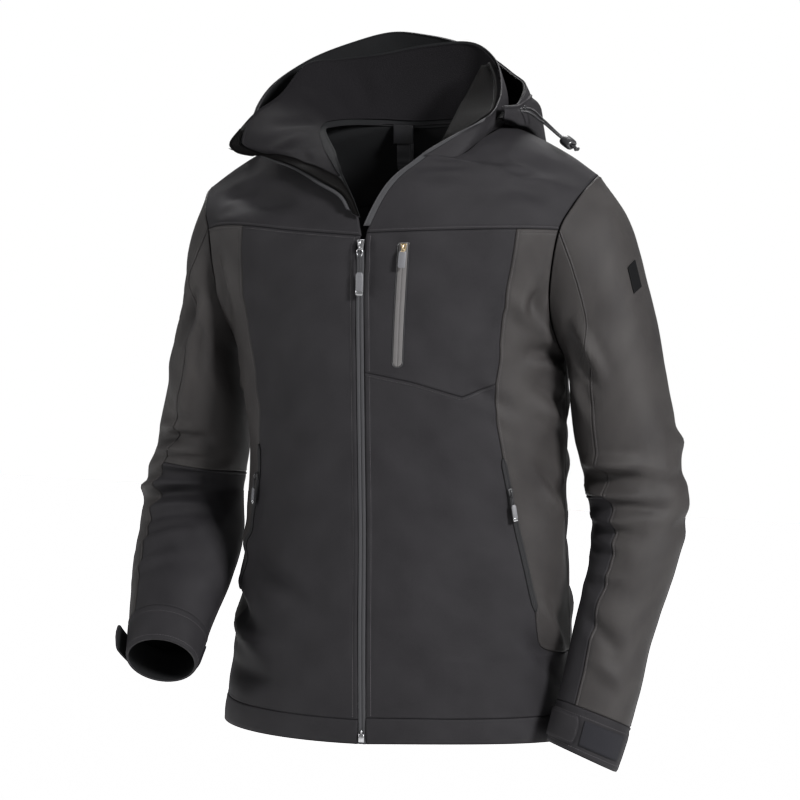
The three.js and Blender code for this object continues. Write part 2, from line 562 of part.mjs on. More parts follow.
function sleeve(form, angle, w) {
  const wn = clamp(w, 0.01, form.rows.length - 1.01);
  const e = 0.6;
  const du = sleeveSmooth(form, angle + e, wn).sub(sleeveSmooth(form, angle - e, wn));
  const dv = sleeveSmooth(form, angle, wn + 0.01).sub(sleeveSmooth(form, angle, wn - 0.01));
  const n = du.cross(dv).normalize().multiplyScalar(form.side);
  const folds = form.side > 0 ? SLEEVE_FOLDS_LEFT : SLEEVE_FOLDS_RIGHT;
  const degree = 1.0; // mm of cloth per degree of turn, near enough for placing folds
  const ringStep = 66; // mm between rings
  let sum = 0;
  for (const f of folds) {
    const a = ((angle - f.a0 + 540) % 360 + 360) % 360 - 180;
    const dx = (f.a1 - f.a0) * degree;
    const dy = (f.w1 - f.w0) * ringStep;
    const px = a * degree;
    const py = (w - f.w0) * ringStep;
    const t = clamp((px * dx + py * dy) / (dx * dx + dy * dy), 0, 1);
    const away = Math.hypot(px - t * dx, py - t * dy) / f.width;
    sum += f.height * Math.exp(-away * away) * (0.35 + 0.65 * Math.sin(Math.PI * clamp(t, 0.05, 0.95)));
  }
  const fade = clamp(w / 0.6, 0, 1) * clamp((form.rows.length - 1 - w) / 0.5, 0, 1);
  return { p: sleeveSmooth(form, angle, w).addScaledVector(n, sum * fade), n };
}
// Sleeve seams: ring position against angle. The outer panel runs from the back seam round to the front seam.
const FRONT_SEAM_LEFT = [[0, 66], [0.5, 80], [1, 92], [2, 104], [3, 109], [4, 114], [5, 120], [6, 112], [7, 112], [8, 112], [9, 112], [10, 112]];
const FRONT_SEAM_RIGHT = [[0, 60], [0.5, 66], [1, 70], [2, 76], [3, 80], [4, 78], [5, 74], [6, 66], [7, 58], [8, 54], [9, 52], [10, 52]];
const BACK_SEAM_ANGLE = 248;
const ELBOW_RING = 5.55;
const CUFF_RING = 9.3;
const sleeveRows = [0, 0.3, 0.7, 1.2, 1.8, 2.4, 3, 3.6, 4.2, 4.7, 5.1, ELBOW_RING, 6, 6.5, 7, 7.6, 8.2, 8.8, CUFF_RING];
const upperRowsOf = sleeveRows.filter((w) => w <= ELBOW_RING);
const lowerRowsOf = sleeveRows.filter((w) => w >= ELBOW_RING);
for (const [name, form, seam] of [["left", SLEEVE_LEFT, FRONT_SEAM_LEFT], ["right", SLEEVE_RIGHT, FRONT_SEAM_RIGHT]]) {
  const strip = (rows, from, to, count) => rows.map((w) => steps(count).map((s) => sleeve(form, mix(from(w), to(w), s), w)));
  const front = (w) => along(seam, w);
  const back = () => BACK_SEAM_ANGLE;
  piece("sleeve_outer_" + name, "grey", wall(strip(sleeveRows, (w) => back(w) - 360, front, 14), CLOTH));
  piece("sleeve_inner_" + name, "grey", wall(strip(upperRowsOf, front, back, 10), CLOTH));
  piece("forearm_inner_" + name, "black", wall(strip(lowerRowsOf, front, back, 10), CLOTH));
  const cuffRing = (w, bulge) => steps(24).slice(0, 24).map((s) => {
    const { p, n } = sleeve(form, s * 360, w);
    return { p: p.addScaledVector(n, bulge), n };
  });
  piece("cuff_" + name, "black", wall([cuffRing(CUFF_RING, 0.3), cuffRing(9.5, 1.2), cuffRing(9.75, 1.2), cuffRing(10, 0.6)], 2.2, { round: true }));
}

// Collar form: a base line round the neck and a top edge, from the wearer's left front corner round
// the back to the folded corner on the wearer's right and down its open zip edge. `belly` is how far
// the middle swells outwards.
const COLLAR = table(["bx", "by", "bz", "tx", "ty", "tz", "belly"], [
  [71, -109, 4.2, 134, -73, 45, 0],
  [100.5, -96.6, 2.2, 134, -55, 50, 2],
  [117, -62, 15.5, 131, -34, 54, 4],
  [123, -24, 26.4, 126, 0, 69, 6],
  [125.5, 10, 30, 116, 30, 86, 8],
  [103, 48, 30, 103, 56, 102, 8],
  [59, 73, 29, 70, 82, 120, 6],
  [0, 81, 24.4, 0, 99, 116, 5],
  [-49, 78, 25.4, -55, 99, 105, 5],
  [-86, 62, 25, -107, 93, 98, 5],
  [-101, 40, 23.2, -140, 80, 93, 5],
  [-100, 12, 19, -163, 42, 56, 5],
  [-90, -18, 12.5, -183, 4, 34, 6],
  [-79, -39, 4.5, -192, -18, 17, 6],
  [-70, -55, -2.5, -199, -34, 0, 6],
  [-59, -72, -10.5, -160, -46, -8, 6],
  [-49, -85, -18.5, -131, -63, -14, 5],
  [-42, -93, -25.5, -96, -86, -21, 3],
  [-34.5, -100.5, -31.5, -61, -106, -33, 1],
  [-16, -119.5, -52, -26, -123, -49, 0],
  [-4, -132, -70, -12, -133, -66, 0],
]);
const COLLAR_ROWS = COLLAR.map((q) => {
  const b = v3(q.bx, q.by, q.bz);
  const t = v3(q.tx, q.ty, q.tz);
  const middle = b.clone().add(t).multiplyScalar(0.5);
  const away = v3(middle.x, middle.y - 10, 0).normalize();
  const up = t.clone().sub(b);
  away.addScaledVector(up, -away.dot(up) / up.lengthSq()).normalize();
  middle.addScaledVector(away, q.belly * 1.33);
  return [b, b.clone().lerp(middle, 0.67).addScaledVector(away, q.belly * 0.3), t.clone().lerp(middle, 0.67).addScaledVector(away, q.belly * 0.3), t];
});
const collarSmooth = (s, t) => bezier(loft(COLLAR_ROWS, s), t);
const COLLAR_LAST = COLLAR.length - 1;
function collar(s, t) {
  const sn = clamp(s, 0.02, COLLAR_LAST - 0.02);
  const n = normalOf(collarSmooth, sn, clamp(t, 0.02, 0.98), 1);
  return { p: collarSmooth(s, t), n };
}
const range = (from, to, step) => Array.from({ length: Math.round((to - from) / step) + 1 }, (_, i) => from + i * step);
const collarHeights = [0, 0.25, 0.5, 0.75, 1];
// The outer collar and, past the corner, the turned-back front edge: one strip of softshell.
piece("collar_outer", "black", wall(range(0, COLLAR_LAST, 0.5).map((s) => collarHeights.map((t) => collar(s, t))), CLOTH));
// The fleece lies inside it, round the back and over the opened wearer's-right side, down to the edge band.
const BAND_EDGE = [[4, 1], [12.4, 1], [13, 0.93], [14, 0.84], [15, 0.6], [16, 0.38], [17, 0.24], [18, 0.06]];
const fleeceTop = (s) => Math.min(0.985, along(BAND_EDGE, s));
piece("collar_inner", "fleece", wall(range(4, 17.5, 0.5).map((s) => collarHeights.map((t) => collar(s, 0.01 + t * (fleeceTop(s) - 0.02)))), FLEECE, { lift: -CLOTH - LAY }));
// The black band that faces the open zip edge, from the curled corner down to the zip.
piece("edge_band_right", "black", wall(range(13, COLLAR_LAST, 0.5).map((s) => [0, 0.5, 1].map((t) => collar(s, mix(Math.max(0.02, along(BAND_EDGE, s) + 0.015), 0.985, t)))), 1.2, { lift: -CLOTH - LAY }));
// On the wearer's left a facing of softshell lines the zip edge and the collar front.
const FACING = table(["ox", "oy", "oz", "ix", "iy", "iz"], [
  [84, -99, 14, 78, -94, 12],
  [104, -88, 25, 83, -86, 20],
  [121, -78, 36, 83, -68, 28],
  [131, -69, 44, 81, -40, 38],
  [130, -34, 53, 79, -12, 49],
  [123, 0, 68, 80, 6, 58],
  [112, 28, 85, 83, 30, 76],
  [98, 50, 100, 86, 52, 93],
]);
const FACING_ROWS = FACING.map((q) => {
  const o = v3(q.ox, q.oy, q.oz);
  const i = v3(q.ix, q.iy, q.iz);
  return [o, o.clone().lerp(i, 1 / 3).add(v3(3, 2, -3)), o.clone().lerp(i, 2 / 3).add(v3(3, 2, -3)), i];
});
const facingSmooth = (s, t) => bezier(loft(FACING_ROWS, s), t);
const facing = (s, t) => ({ p: facingSmooth(s, t), n: normalOf(facingSmooth, clamp(s, 0.02, 6.98), clamp(t, 0.02, 0.98), 1) });
piece("collar_facing_left", "black", wall(range(0, 7, 0.5).map((s) => [0.05, 0.36, 0.68, 1].map((t) => facing(s, t))), 1.2, { lift: 3.5 }));


// Hood, lying open down the back: rim, belly of its outer side, foot of the pouch, inner side. Its
// root follows the collar near the neck seam at the collar station named last.
const HOOD = table(["ax", "ay", "az", "bx", "by", "bz", "cx", "cy", "cz", "dx", "dy", "dz", "station"], [
  [139, -42, 54, 144, -47, 48, 142, -47, 41, 139, -43, 40, 2.4],
  [143, -12, 54, 148, -18, 44, 146, -22, 36, 142, -17, 36, 3],
  [143, 10, 55, 149, 4, 43, 147, 0, 30, 142, 4, 31, 3.5],
  [144, 28, 64, 153, 24, 40, 151, 22, 26, 143, 26, 31, 4],
  [140, 48, 74, 155, 58, 36, 151, 64, 10, 136, 58, 22, 4.5],
  [118, 70, 86, 150, 102, 14, 140, 124, -62, 120, 104, -6, 5.1],
  [77, 101, 106, 122, 148, 6, 106, 160, -118, 86, 136, -36, 5.8],
  [31, 127, 120, 64, 174, 4, 54, 186, -150, 40, 150, -56, 6.4],
  [-8, 135, 127, 0, 182, 4, 0, 194, -162, -4, 154, -60, 7],
  [-50, 138, 130, -64, 174, 4, -56, 186, -152, -46, 150, -56, 7.7],
  [-95, 129, 119, -122, 150, 4, -106, 160, -120, -92, 136, -38, 8.6],
  [-150, 108, 96, -168, 116, 10, -146, 124, -66, -126, 106, -14, 9.5],
  [-187, 80, 66, -196, 82, 6, -172, 78, -18, -148, 66, 4, 10.2],
  [-194, 48, 42, -202, 44, 4, -176, 40, -4, -150, 34, 6, 10.9],
  [-189, 22, 27, -192, 14, 6, -174, 10, 0, -152, 8, 5, 11.6],
]);
const HOOD_ROWS = HOOD.map((q) => {
  const root = collar(q.station, q.station < 3.2 ? 0.45 : 0.1);
  return [
    v3(q.ax, q.ay, q.az), v3(q.bx, q.by, q.bz), v3(q.cx, q.cy, q.cz), v3(q.dx, q.dy, q.dz),
    root.p.clone().addScaledVector(root.n, q.station > 9 ? 1.7 : 0.5),
  ];
});
// Points of a profile read by position, smooth between them.
function profile(points, t) {
  const x = clamp(t, 0, 1) * (points.length - 1);
  return loft(points.map((p) => [p]), x)[0];
}
const hoodSmooth = (s, t) => profile(loft(HOOD_ROWS, s), t);
const hood = (s, t) => ({ p: hoodSmooth(s, t), n: normalOf(hoodSmooth, clamp(s, 0.02, 13.98), clamp(t, 0.02, 0.98), -1) });
const hoodHeights = [0, 0.05, 0.1, 0.18, 0.27, 0.37, 0.46, 0.54, 0.64, 0.76, 0.88, 1];
piece("hood", "black", wall(range(0, 14, 0.5).map((s) => hoodHeights.map((t) => hood(s, t))), CLOTH));
// The casing of the hood's face edge is a folded strip on the rim.
piece("hood_casing", "black", wall(range(0, 14, 0.5).map((s) => [0.0, 0.05, 0.1].map((t) => hood(s, t))), 1.3, { lift: 1.3 + LAY, inset: 1 }));

// Main zip: the closed chain between the front edges, and the two open tapes above the slider.
const centre = (form, v) => smooth(form, 0, v);
const SLIDER_ROW = 6.74;
piece("main_zip", "tape", wall(range(0, 6.6, 0.33).map((v) => [-ZIP_HALF, -1.5, 1.5, ZIP_HALF].map((x) => {
  const c = centre(RIGHT, v);
  return { p: v3(x, c.y + (Math.abs(x) < 2 ? 0.2 : 1.0), c.z), n: v3(0, -1, 0) };
})), 1.8));
// An open tape runs on past a cloth edge, in the plane of the cloth: `side` is the way it sticks out.
function openTape(name, edge, width, gap) {
  const rows = edge.map(({ p, n, side }) => [0, 0.5, 1].map((t) => ({ p: p.clone().addScaledVector(side, gap + t * width), n })));
  piece(name, "tape", wall(rows, TAPE, { inset: 0.1 }));
}
const leftEdge = [
  ...range(7.15, 8.9, 0.25).map((v) => ({ ...body(LEFT, 0, v), side: smooth(LEFT, 0, v).sub(smooth(LEFT, 0.02, v)).normalize() })),
  ...[0.1, 0.25, 0.45, 0.7, 0.93].map((t) => ({ ...collar(0, t), side: collarSmooth(0, t).sub(collarSmooth(0.1, t)).normalize() })),
];
openTape("zip_tape_left", leftEdge, 5.2, 1.6);
const rightEdge = range(14.2, 19.8, 0.4).map((s) => ({ ...collar(s, 1), side: collarSmooth(s, 1).sub(collarSmooth(s, 0.96)).normalize() }));
openTape("zip_tape_right", rightEdge, 4, 1.4);

// A hard fitting set on the cloth: local x across, y up along the cloth, z outwards.
function seat(form, u, v, out) {
  const { p, n } = body(form, u, v);
  const up = smooth(form, u, v + 0.02).sub(smooth(form, u, v - 0.02)).normalize();
  if (up.z < 0) up.negate();
  up.addScaledVector(n, -up.dot(n)).normalize();
  const x = up.clone().cross(n).normalize();
  const m = new THREE.Matrix4().makeBasis(x, up, n);
  return m.setPosition(p.clone().addScaledVector(n, out));
}
// Slider: a body pinched in at the middle, extruded through its height above the chain.
function sliderGeometry(w, h, d) {
  const s = new THREE.Shape();
  s.moveTo(-w * 0.5, h * 0.5);
  s.lineTo(w * 0.5, h * 0.5);
  s.lineTo(w * 0.42, 0);
  s.lineTo(w * 0.3, -h * 0.5);
  s.lineTo(-w * 0.3, -h * 0.5);
  s.lineTo(-w * 0.42, 0);
  s.closePath();
  const g = new THREE.ExtrudeGeometry(s, { depth: d, bevelEnabled: true, bevelThickness: 0.6, bevelSize: 0.6, bevelSegments: 1 });
  return g;
}
// Pull tab: a narrow neck that widens into the grip, its top rounded round the hinge line.
function pullGeometry(w, neck, length, thick) {
  const s = new THREE.Shape();
  const k = neck.length;
  s.moveTo(-neck.width / 2, 0.6);
  s.lineTo(neck.width / 2, 0.6);
  s.lineTo(neck.width / 2, -k);
  s.lineTo(w / 2, -k - 2);
  s.lineTo(w / 2, -length + 1.5);
  s.lineTo(w / 2 - 1.5, -length);
  s.lineTo(-w / 2 + 1.5, -length);
  s.lineTo(-w / 2, -length + 1.5);
  s.lineTo(-w / 2, -k - 2);
  s.lineTo(-neck.width / 2, -k);
  s.closePath();
  const g = new THREE.ExtrudeGeometry(s, { depth: thick, bevelEnabled: false });
  g.translate(0, 0, -thick / 2);
  return g;
}
function fitting(name, colour, geometry, matrix) {
  const g = geometry.clone();
  g.deleteAttribute("uv");
  g.applyMatrix4(matrix);
  piece(name, colour, g);
}
const move = (x, y, z) => new THREE.Matrix4().makeTranslation(x, y, z);
const turnX = (deg) => new THREE.Matrix4().makeRotationX(deg * DEG);
const turnZ = (deg) => new THREE.Matrix4().makeRotationZ(deg * DEG);

// Main slider and its long pull on a cord loop.
const mainSeat = new THREE.Matrix4().makeBasis(v3(1, 0, 0), v3(0, 0, 1), v3(0, -1, 0)).setPosition(v3(2, centre(RIGHT, SLIDER_ROW).y - 1.6, centre(RIGHT, SLIDER_ROW).z));
fitting("main_slider", "plastic", sliderGeometry(8, 12, 3.6), mainSeat);
fitting("main_pull", "plastic", pullGeometry(8.5, { width: 3.4, length: 25 }, 52, 2.4), mainSeat.clone().multiply(move(0, -5, 5.7)).multiply(turnX(-2)));

// Chest pocket: a grey reverse zip set in the welded window, slider and pull at the top.
const CHEST_ZIP_TOP = { x: 51, z: -95 };
const CHEST_ZIP_FOOT = { x: 43.5, z: -238 };
const chestAt = (t, x, out) => {
  const z = mix(CHEST_ZIP_TOP.z, CHEST_ZIP_FOOT.z, t);
  const v = rowAt(LEFT, 0.2, z, 3, 7);
  const q = body(LEFT, across(LEFT, v, mix(CHEST_ZIP_TOP.x, CHEST_ZIP_FOOT.x, t) + x), v);
  return { p: q.p.addScaledVector(q.n, out), n: q.n };
};
// Its foot is a half circle of the zip's own half width.
const CHEST_ROUND = CHEST_ZIP_HALF / (CHEST_ZIP_TOP.z - CHEST_ZIP_FOOT.z);
const chestWidth = (t) => CHEST_ZIP_HALF * Math.max(0.28, Math.sqrt(1 - Math.max(0, (t - 1 + CHEST_ROUND) / CHEST_ROUND) ** 2));
const chestSteps = [...steps(10).slice(0, 10), ...[1, 0.6, 0.25, 0].map((k) => 1 - k * CHEST_ROUND)];
piece("chest_zip", "tape", wall(chestSteps.map((t) => [-1, -0.33, 0.33, 1].map((k) => chestAt(t, k * chestWidth(t), 0))), TAPE, { lift: TAPE + LAY }));
const chestV = rowAt(LEFT, 0.2, -101, 3, 7);
const chestSeat = seat(LEFT, across(LEFT, chestV, 51.5), chestV, TAPE + 1.3);
fitting("chest_slider", "metal", sliderGeometry(7, 10, 2.6), chestSeat);
fitting("chest_pull", "plastic", pullGeometry(9, { width: 4, length: 3.5 }, 20, 1.8), chestSeat.clone().multiply(move(0, -3.5, 4.4)).multiply(turnX(-3)));

// Hand pockets: a zip strip laid along the side seam line, slider and pull.
const POCKET_TOP = -346;
const SLIDER_Z = -388;
for (const [name, form, seam] of [["left", LEFT, SIDE_SEAM_LEFT], ["right", RIGHT, SIDE_SEAM_RIGHT]]) {
  const rowOf = (z) => rowAt(form, 0.85, z, 1, 5);
  piece("hand_zip_" + name, "tape", wall(BODY_LEVELS.filter((z) => z < POCKET_TOP).map((z) => {
    const v = rowOf(z);
    const u = across(form, v, along(seam, z));
    const c = body(form, u, v);
    const perShare = smooth(form, u + 0.01, v).distanceTo(smooth(form, u - 0.01, v)) / 0.02;
    return [-1, 0, 1].map((k) => ({ p: body(form, u + (k * HAND_ZIP_HALF) / perShare, v).p, n: c.n }));
  }), TAPE, { lift: TAPE + 0.5 }));
  const v = rowOf(SLIDER_Z);
  const handSeat = seat(form, across(form, v, along(seam, SLIDER_Z)), v, TAPE + 1.6).multiply(turnZ(form.side * 8));
  fitting("hand_slider_" + name, "plastic", sliderGeometry(6, 9, 2.4), handSeat);
  fitting("hand_pull_" + name, "plastic", pullGeometry(6, { width: 2.6, length: 10 }, 30, 1.8), handSeat.clone().multiply(move(0, -3.4, 4.2)).multiply(turnX(-4)));
}

// Cuff tabs with their hook strips. Each runs round the cuff between two angles; the wearer's right
// one stands off at its free end.
function cuffStrip(form, from, to, count, w0, w1, lift, flare) {
  return steps(count).map((s) => [0, 0.5, 1].map((t) => {
    const { p, n } = sleeve(form, mix(from, to, s), mix(w0, w1, t));
    return { p: p.addScaledVector(n, lift + flare * Math.max(0, (s - 0.6) / 0.4) ** 2), n };
  }));
}
piece("cuff_tab_left", "black", wall(cuffStrip(SLEEVE_LEFT, 215, 96, 10, 9.42, 9.9, 3.4, 0), 1.6));
piece("hook_strip_left", "plastic", wall(cuffStrip(SLEEVE_LEFT, 90, 20, 8, 9.46, 9.86, 2.7, 0), 1.0));
piece("cuff_tab_right", "black", wall(cuffStrip(SLEEVE_RIGHT, -80, 34, 10, 9.42, 9.9, 3.4, 12), 1.6));
piece("hook_strip_right", "plastic", wall(cuffStrip(SLEEVE_RIGHT, -86, -150, 6, 9.46, 9.86, 2.7, 0), 1.0));
// Bare patch on the wearer's left sleeve.
piece("sleeve_patch", "plastic", wall([1.62, 1.74, 1.86, 1.98].map((w) => [15, 23, 31].map((a) => sleeve(SLEEVE_LEFT, a, w))), 0.8, { lift: 0.8 + LAY }));

// Label and hang loop inside the back neck.
piece("label", "plastic", wall([22, 11, -1].map((z) => [-30, -17.5, -5].map((x) => ({ p: v3(x, 72.6 - (22 - z) * 0.02, z), n: v3(0, -1, 0) }))), 0.8));
const loopShape = new THREE.Shape();
loopShape.absellipse(0, 0, 4.6, 23, 0, Math.PI * 2);
const loopHole = new THREE.Path();
loopHole.absellipse(0, 0, 3.4, 21.8, 0, Math.PI * 2, true);
loopShape.holes.push(loopHole);
const loopGeometry = new THREE.ExtrudeGeometry(loopShape, { depth: 18, bevelEnabled: false, curveSegments: 10 });
fitting("hang_loop", "black", loopGeometry, new THREE.Matrix4().makeBasis(v3(0, 1, 0), v3(0, 0, 1), v3(1, 0, 0)).setPosition(v3(-26, 79.2, -10)));

// Drawcord: two strands from the eyelets of the hood through the cord lock to their free ends.
const LOCK = v3(208, -8, 12);
const LOCK_LENGTH = 15;
const eyeletUpper = hood(2.55, 0.16);
const eyeletLower = hood(1.85, 0.2);
const startUpper = eyeletUpper.p.clone().addScaledVector(eyeletUpper.n, LAY + 0.2);
const startLower = eyeletLower.p.clone().addScaledVector(eyeletLower.n, LAY);
const cordWay = v3(0.8, -0.36, -0.48).normalize();
const cordSide = cordWay.clone().cross(v3(0, 0, 1)).normalize();
function strand(name, start, out, side) {
  const at = (d) => LOCK.clone().addScaledVector(cordWay, d).addScaledVector(cordSide, side * 1.55);
  const path = new THREE.CatmullRomCurve3([
    start,
    start.clone().addScaledVector(out, 4).add(v3(2, 0, -2)),
    start.clone().lerp(at(-13), 0.5).add(v3(1.5, side * 1.5, 2.5)),
    at(-13), at(-9), at(0), at(LOCK_LENGTH / 2 + 9),
  ]);
  const round = new THREE.Shape();
  round.absarc(0, 0, CORD / 2, 0, Math.PI * 2);
  const g = new THREE.ExtrudeGeometry(round, { steps: 20, extrudePath: path, curveSegments: 4, bevelEnabled: false });
  fitting(name, "plastic", g, new THREE.Matrix4());
}
strand("drawcord_upper", startUpper, eyeletUpper.n, -1);
strand("drawcord_lower", startLower, eyeletLower.n, 1);
const lockShape = new THREE.Shape();
lockShape.absellipse(0, 0, 8.5, 6.5, 0, Math.PI * 2);
const lockHole = new THREE.Path();
lockHole.absellipse(0, 0, 3.4, 1.9, 0, Math.PI * 2, true);
lockShape.holes.push(lockHole);
const lockGeometry = new THREE.ExtrudeGeometry(lockShape, { depth: LOCK_LENGTH, bevelEnabled: true, bevelThickness: 0.8, bevelSize: 0.8, bevelOffset: -0.8, bevelSegments: 1, curveSegments: 8 });
lockGeometry.translate(0, 0, -LOCK_LENGTH / 2);
fitting("cord_lock", "plastic", lockGeometry, new THREE.Matrix4().makeBasis(cordSide, cordWay.clone().cross(cordSide), cordWay).setPosition(LOCK));

export default jacket;
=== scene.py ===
# %% [markdown]
# A men's hooded softshell jacket, filled out as worn, zipped to the chest, with its collar and hood
# lying open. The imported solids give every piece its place. Each cloth piece is built again here at a
# finer step on the same form, with its creases, seam rolls and stitches, and takes its solid's place.
# %% Load the frame
import math

import bpy
import numpy as np
from mathutils import Matrix, Vector, noise


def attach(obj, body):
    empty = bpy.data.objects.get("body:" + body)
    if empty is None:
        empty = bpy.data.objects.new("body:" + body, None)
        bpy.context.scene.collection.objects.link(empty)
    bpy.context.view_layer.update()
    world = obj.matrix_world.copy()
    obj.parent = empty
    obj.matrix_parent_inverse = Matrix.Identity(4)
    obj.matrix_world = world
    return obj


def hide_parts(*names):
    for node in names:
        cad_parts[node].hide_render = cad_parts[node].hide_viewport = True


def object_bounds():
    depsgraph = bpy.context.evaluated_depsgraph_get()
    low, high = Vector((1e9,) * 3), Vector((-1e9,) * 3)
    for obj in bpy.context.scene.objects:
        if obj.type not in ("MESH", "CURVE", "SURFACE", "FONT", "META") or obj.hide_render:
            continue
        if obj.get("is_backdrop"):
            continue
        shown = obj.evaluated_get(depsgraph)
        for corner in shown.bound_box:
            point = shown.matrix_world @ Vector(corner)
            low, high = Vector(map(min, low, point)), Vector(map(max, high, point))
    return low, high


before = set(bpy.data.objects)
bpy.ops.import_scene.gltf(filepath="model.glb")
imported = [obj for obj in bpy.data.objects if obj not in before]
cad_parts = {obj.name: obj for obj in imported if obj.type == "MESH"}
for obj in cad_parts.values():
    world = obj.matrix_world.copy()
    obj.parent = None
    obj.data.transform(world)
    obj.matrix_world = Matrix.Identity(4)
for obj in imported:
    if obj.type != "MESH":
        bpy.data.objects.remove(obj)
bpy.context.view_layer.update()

# %% [markdown]
# The camera comes first. It stands in front of the wearer's left side, a little above the chest, with
# a long lens, so that the front faces the viewer's left as in the photograph.
# %% Camera
CAMERA_TURN = math.radians(18)
CAMERA_RISE = math.radians(9.2)
CAMERA_TARGET = Vector((0.002, 0, -0.3))
CAMERA_DISTANCE = 3.65
FOCAL_LENGTH = 138.0
SENSOR_WIDTH = 36.0
lens = bpy.data.cameras.new("photo_lens")
lens.lens = FOCAL_LENGTH
lens.sensor_width = SENSOR_WIDTH
camera = bpy.data.objects.new("camera", lens)
bpy.context.scene.collection.objects.link(camera)
bpy.context.scene.camera = camera
towards = Vector((
    math.sin(CAMERA_TURN) * math.cos(CAMERA_RISE),
    -math.cos(CAMERA_TURN) * math.cos(CAMERA_RISE),
    math.sin(CAMERA_RISE),
))
camera.location = CAMERA_TARGET + towards * CAMERA_DISTANCE
camera.rotation_euler = (-towards).to_track_quat("-Z", "Y").to_euler()
print("camera at", [round(x, 2) for x in camera.location])

# %% [markdown]
# The sizes of the cloth come next, in millimetres. Only the drawcord and its lock hang free. Their
# route starts at the eyelets, so it is set where the hood's form is known.
# %% Sizes in millimetres
MM = 0.001
CLOTH = 1.6
FOLDED_CLOTH = 2.2
FLEECE = 1.4
FACING_CLOTH = 1.2
TAPE = 1.1
# Each piece stops this far short of its seam line.
SEAM = 0.22
# The gap between two layers that lie on each other.
LAY = 0.35
ZIP_HALF = 4.4
# From the centre line to the cloth's edge beside the zip.
EDGE_HALF = 5.0
HEM_BAND = 30
CHEST_ZIP_HALF = 5.2
HAND_ZIP_HALF = 3.6
CORD = 2.6
# The longest step of a cloth's grid.
STEP = 5.2
STITCH_IN = 3.8
STITCH_PITCH = 3.2


def mix(a, b, t):
    return a + (b - a) * t


def along(pairs, x):
    """A value read from a two-column table by straight lines."""
    xs, ys = zip(*sorted(pairs))
    return np.interp(x, xs, ys)


def unit(v):
    return v / np.maximum(np.linalg.norm(v, axis=-1, keepdims=True), 1e-9)


def hill(distance, width):
    """A round hill of height one, a width away it is down to about a third."""
    return np.exp(-((distance / width) ** 2))


def length_along(line):
    """How far each point of a line lies from its start."""
    return np.concatenate([[0], np.cumsum(np.linalg.norm(np.diff(line, axis=0), axis=1))])


print("cloth", CLOTH, "mm thick, steps of at most", STEP, "mm")


# %% [markdown]
# The body, sleeves and collar are lofted: each row of a table gives a few control points, and the
# form runs smoothly through the rows. A row may turn a corner, as at the armpit.
# %% Loft through rows of control points
class Loft:
    """Rows of points joined by smooth curves. A corner sets how a point leaves or reaches its row."""

    def __init__(self, rows, corners=()):
        self.rows = np.array(rows, float)
        step = np.diff(self.rows, axis=0)
        size = np.linalg.norm(step, axis=2).mean(1) + 1e-6
        self.leave = step.copy()
        self.arrive = step.copy()
        for i in range(len(step)):
            if i > 0:
                share = size[i - 1] + size[i]
                self.leave[i] = (step[i] * size[i - 1] / share
                                 + step[i - 1] * size[i] ** 2 / size[i - 1] / share)
            if i < len(step) - 1:
                share = size[i] + size[i + 1]
                self.arrive[i] = (step[i] * size[i + 1] / share
                                  + step[i + 1] * size[i] ** 2 / size[i + 1] / share)
        for control, row, leave, arrive in corners:
            if row < len(step):
                self.leave[row, control] = step[row, control] if leave is None else leave
            if row > 0:
                self.arrive[row - 1, control] = step[row - 1, control] if arrive is None else arrive

    def at(self, v):
        i = np.clip(np.floor(v).astype(int), 0, len(self.leave) - 1)
        t = (v - i)[:, None, None]
        return (
            self.rows[i] * (2 * t**3 - 3 * t**2 + 1)
            + self.leave[i] * (t**3 - 2 * t**2 + t)
            + self.rows[i + 1] * (3 * t**2 - 2 * t**3)
            + self.arrive[i] * (t**3 - t**2)
        )


def curve_point(controls, t):
    """A point of the curve that four control points draw."""
    s = 1 - t
    weights = np.stack([s**3, 3 * s * s * t, 3 * s * t * t, t**3], -1)
    return (controls * weights[..., None]).sum(-2)


def both(function, a, b):
    """Reads a form at two arrays of positions of any one shape."""
    a, b = np.broadcast_arrays(np.asarray(a, float), np.asarray(b, float))
    return function(a.ravel(), b.ravel()).reshape(a.shape + (3,))


def normals_of(function, a, b, outward, step=0.004):
    du = both(function, a + step, b) - both(function, a - step, b)
    dv = both(function, a, b + step) - both(function, a, b - step)
    return unit(np.cross(du, dv)) * outward


print("a form is read by two positions, across and along its rows")


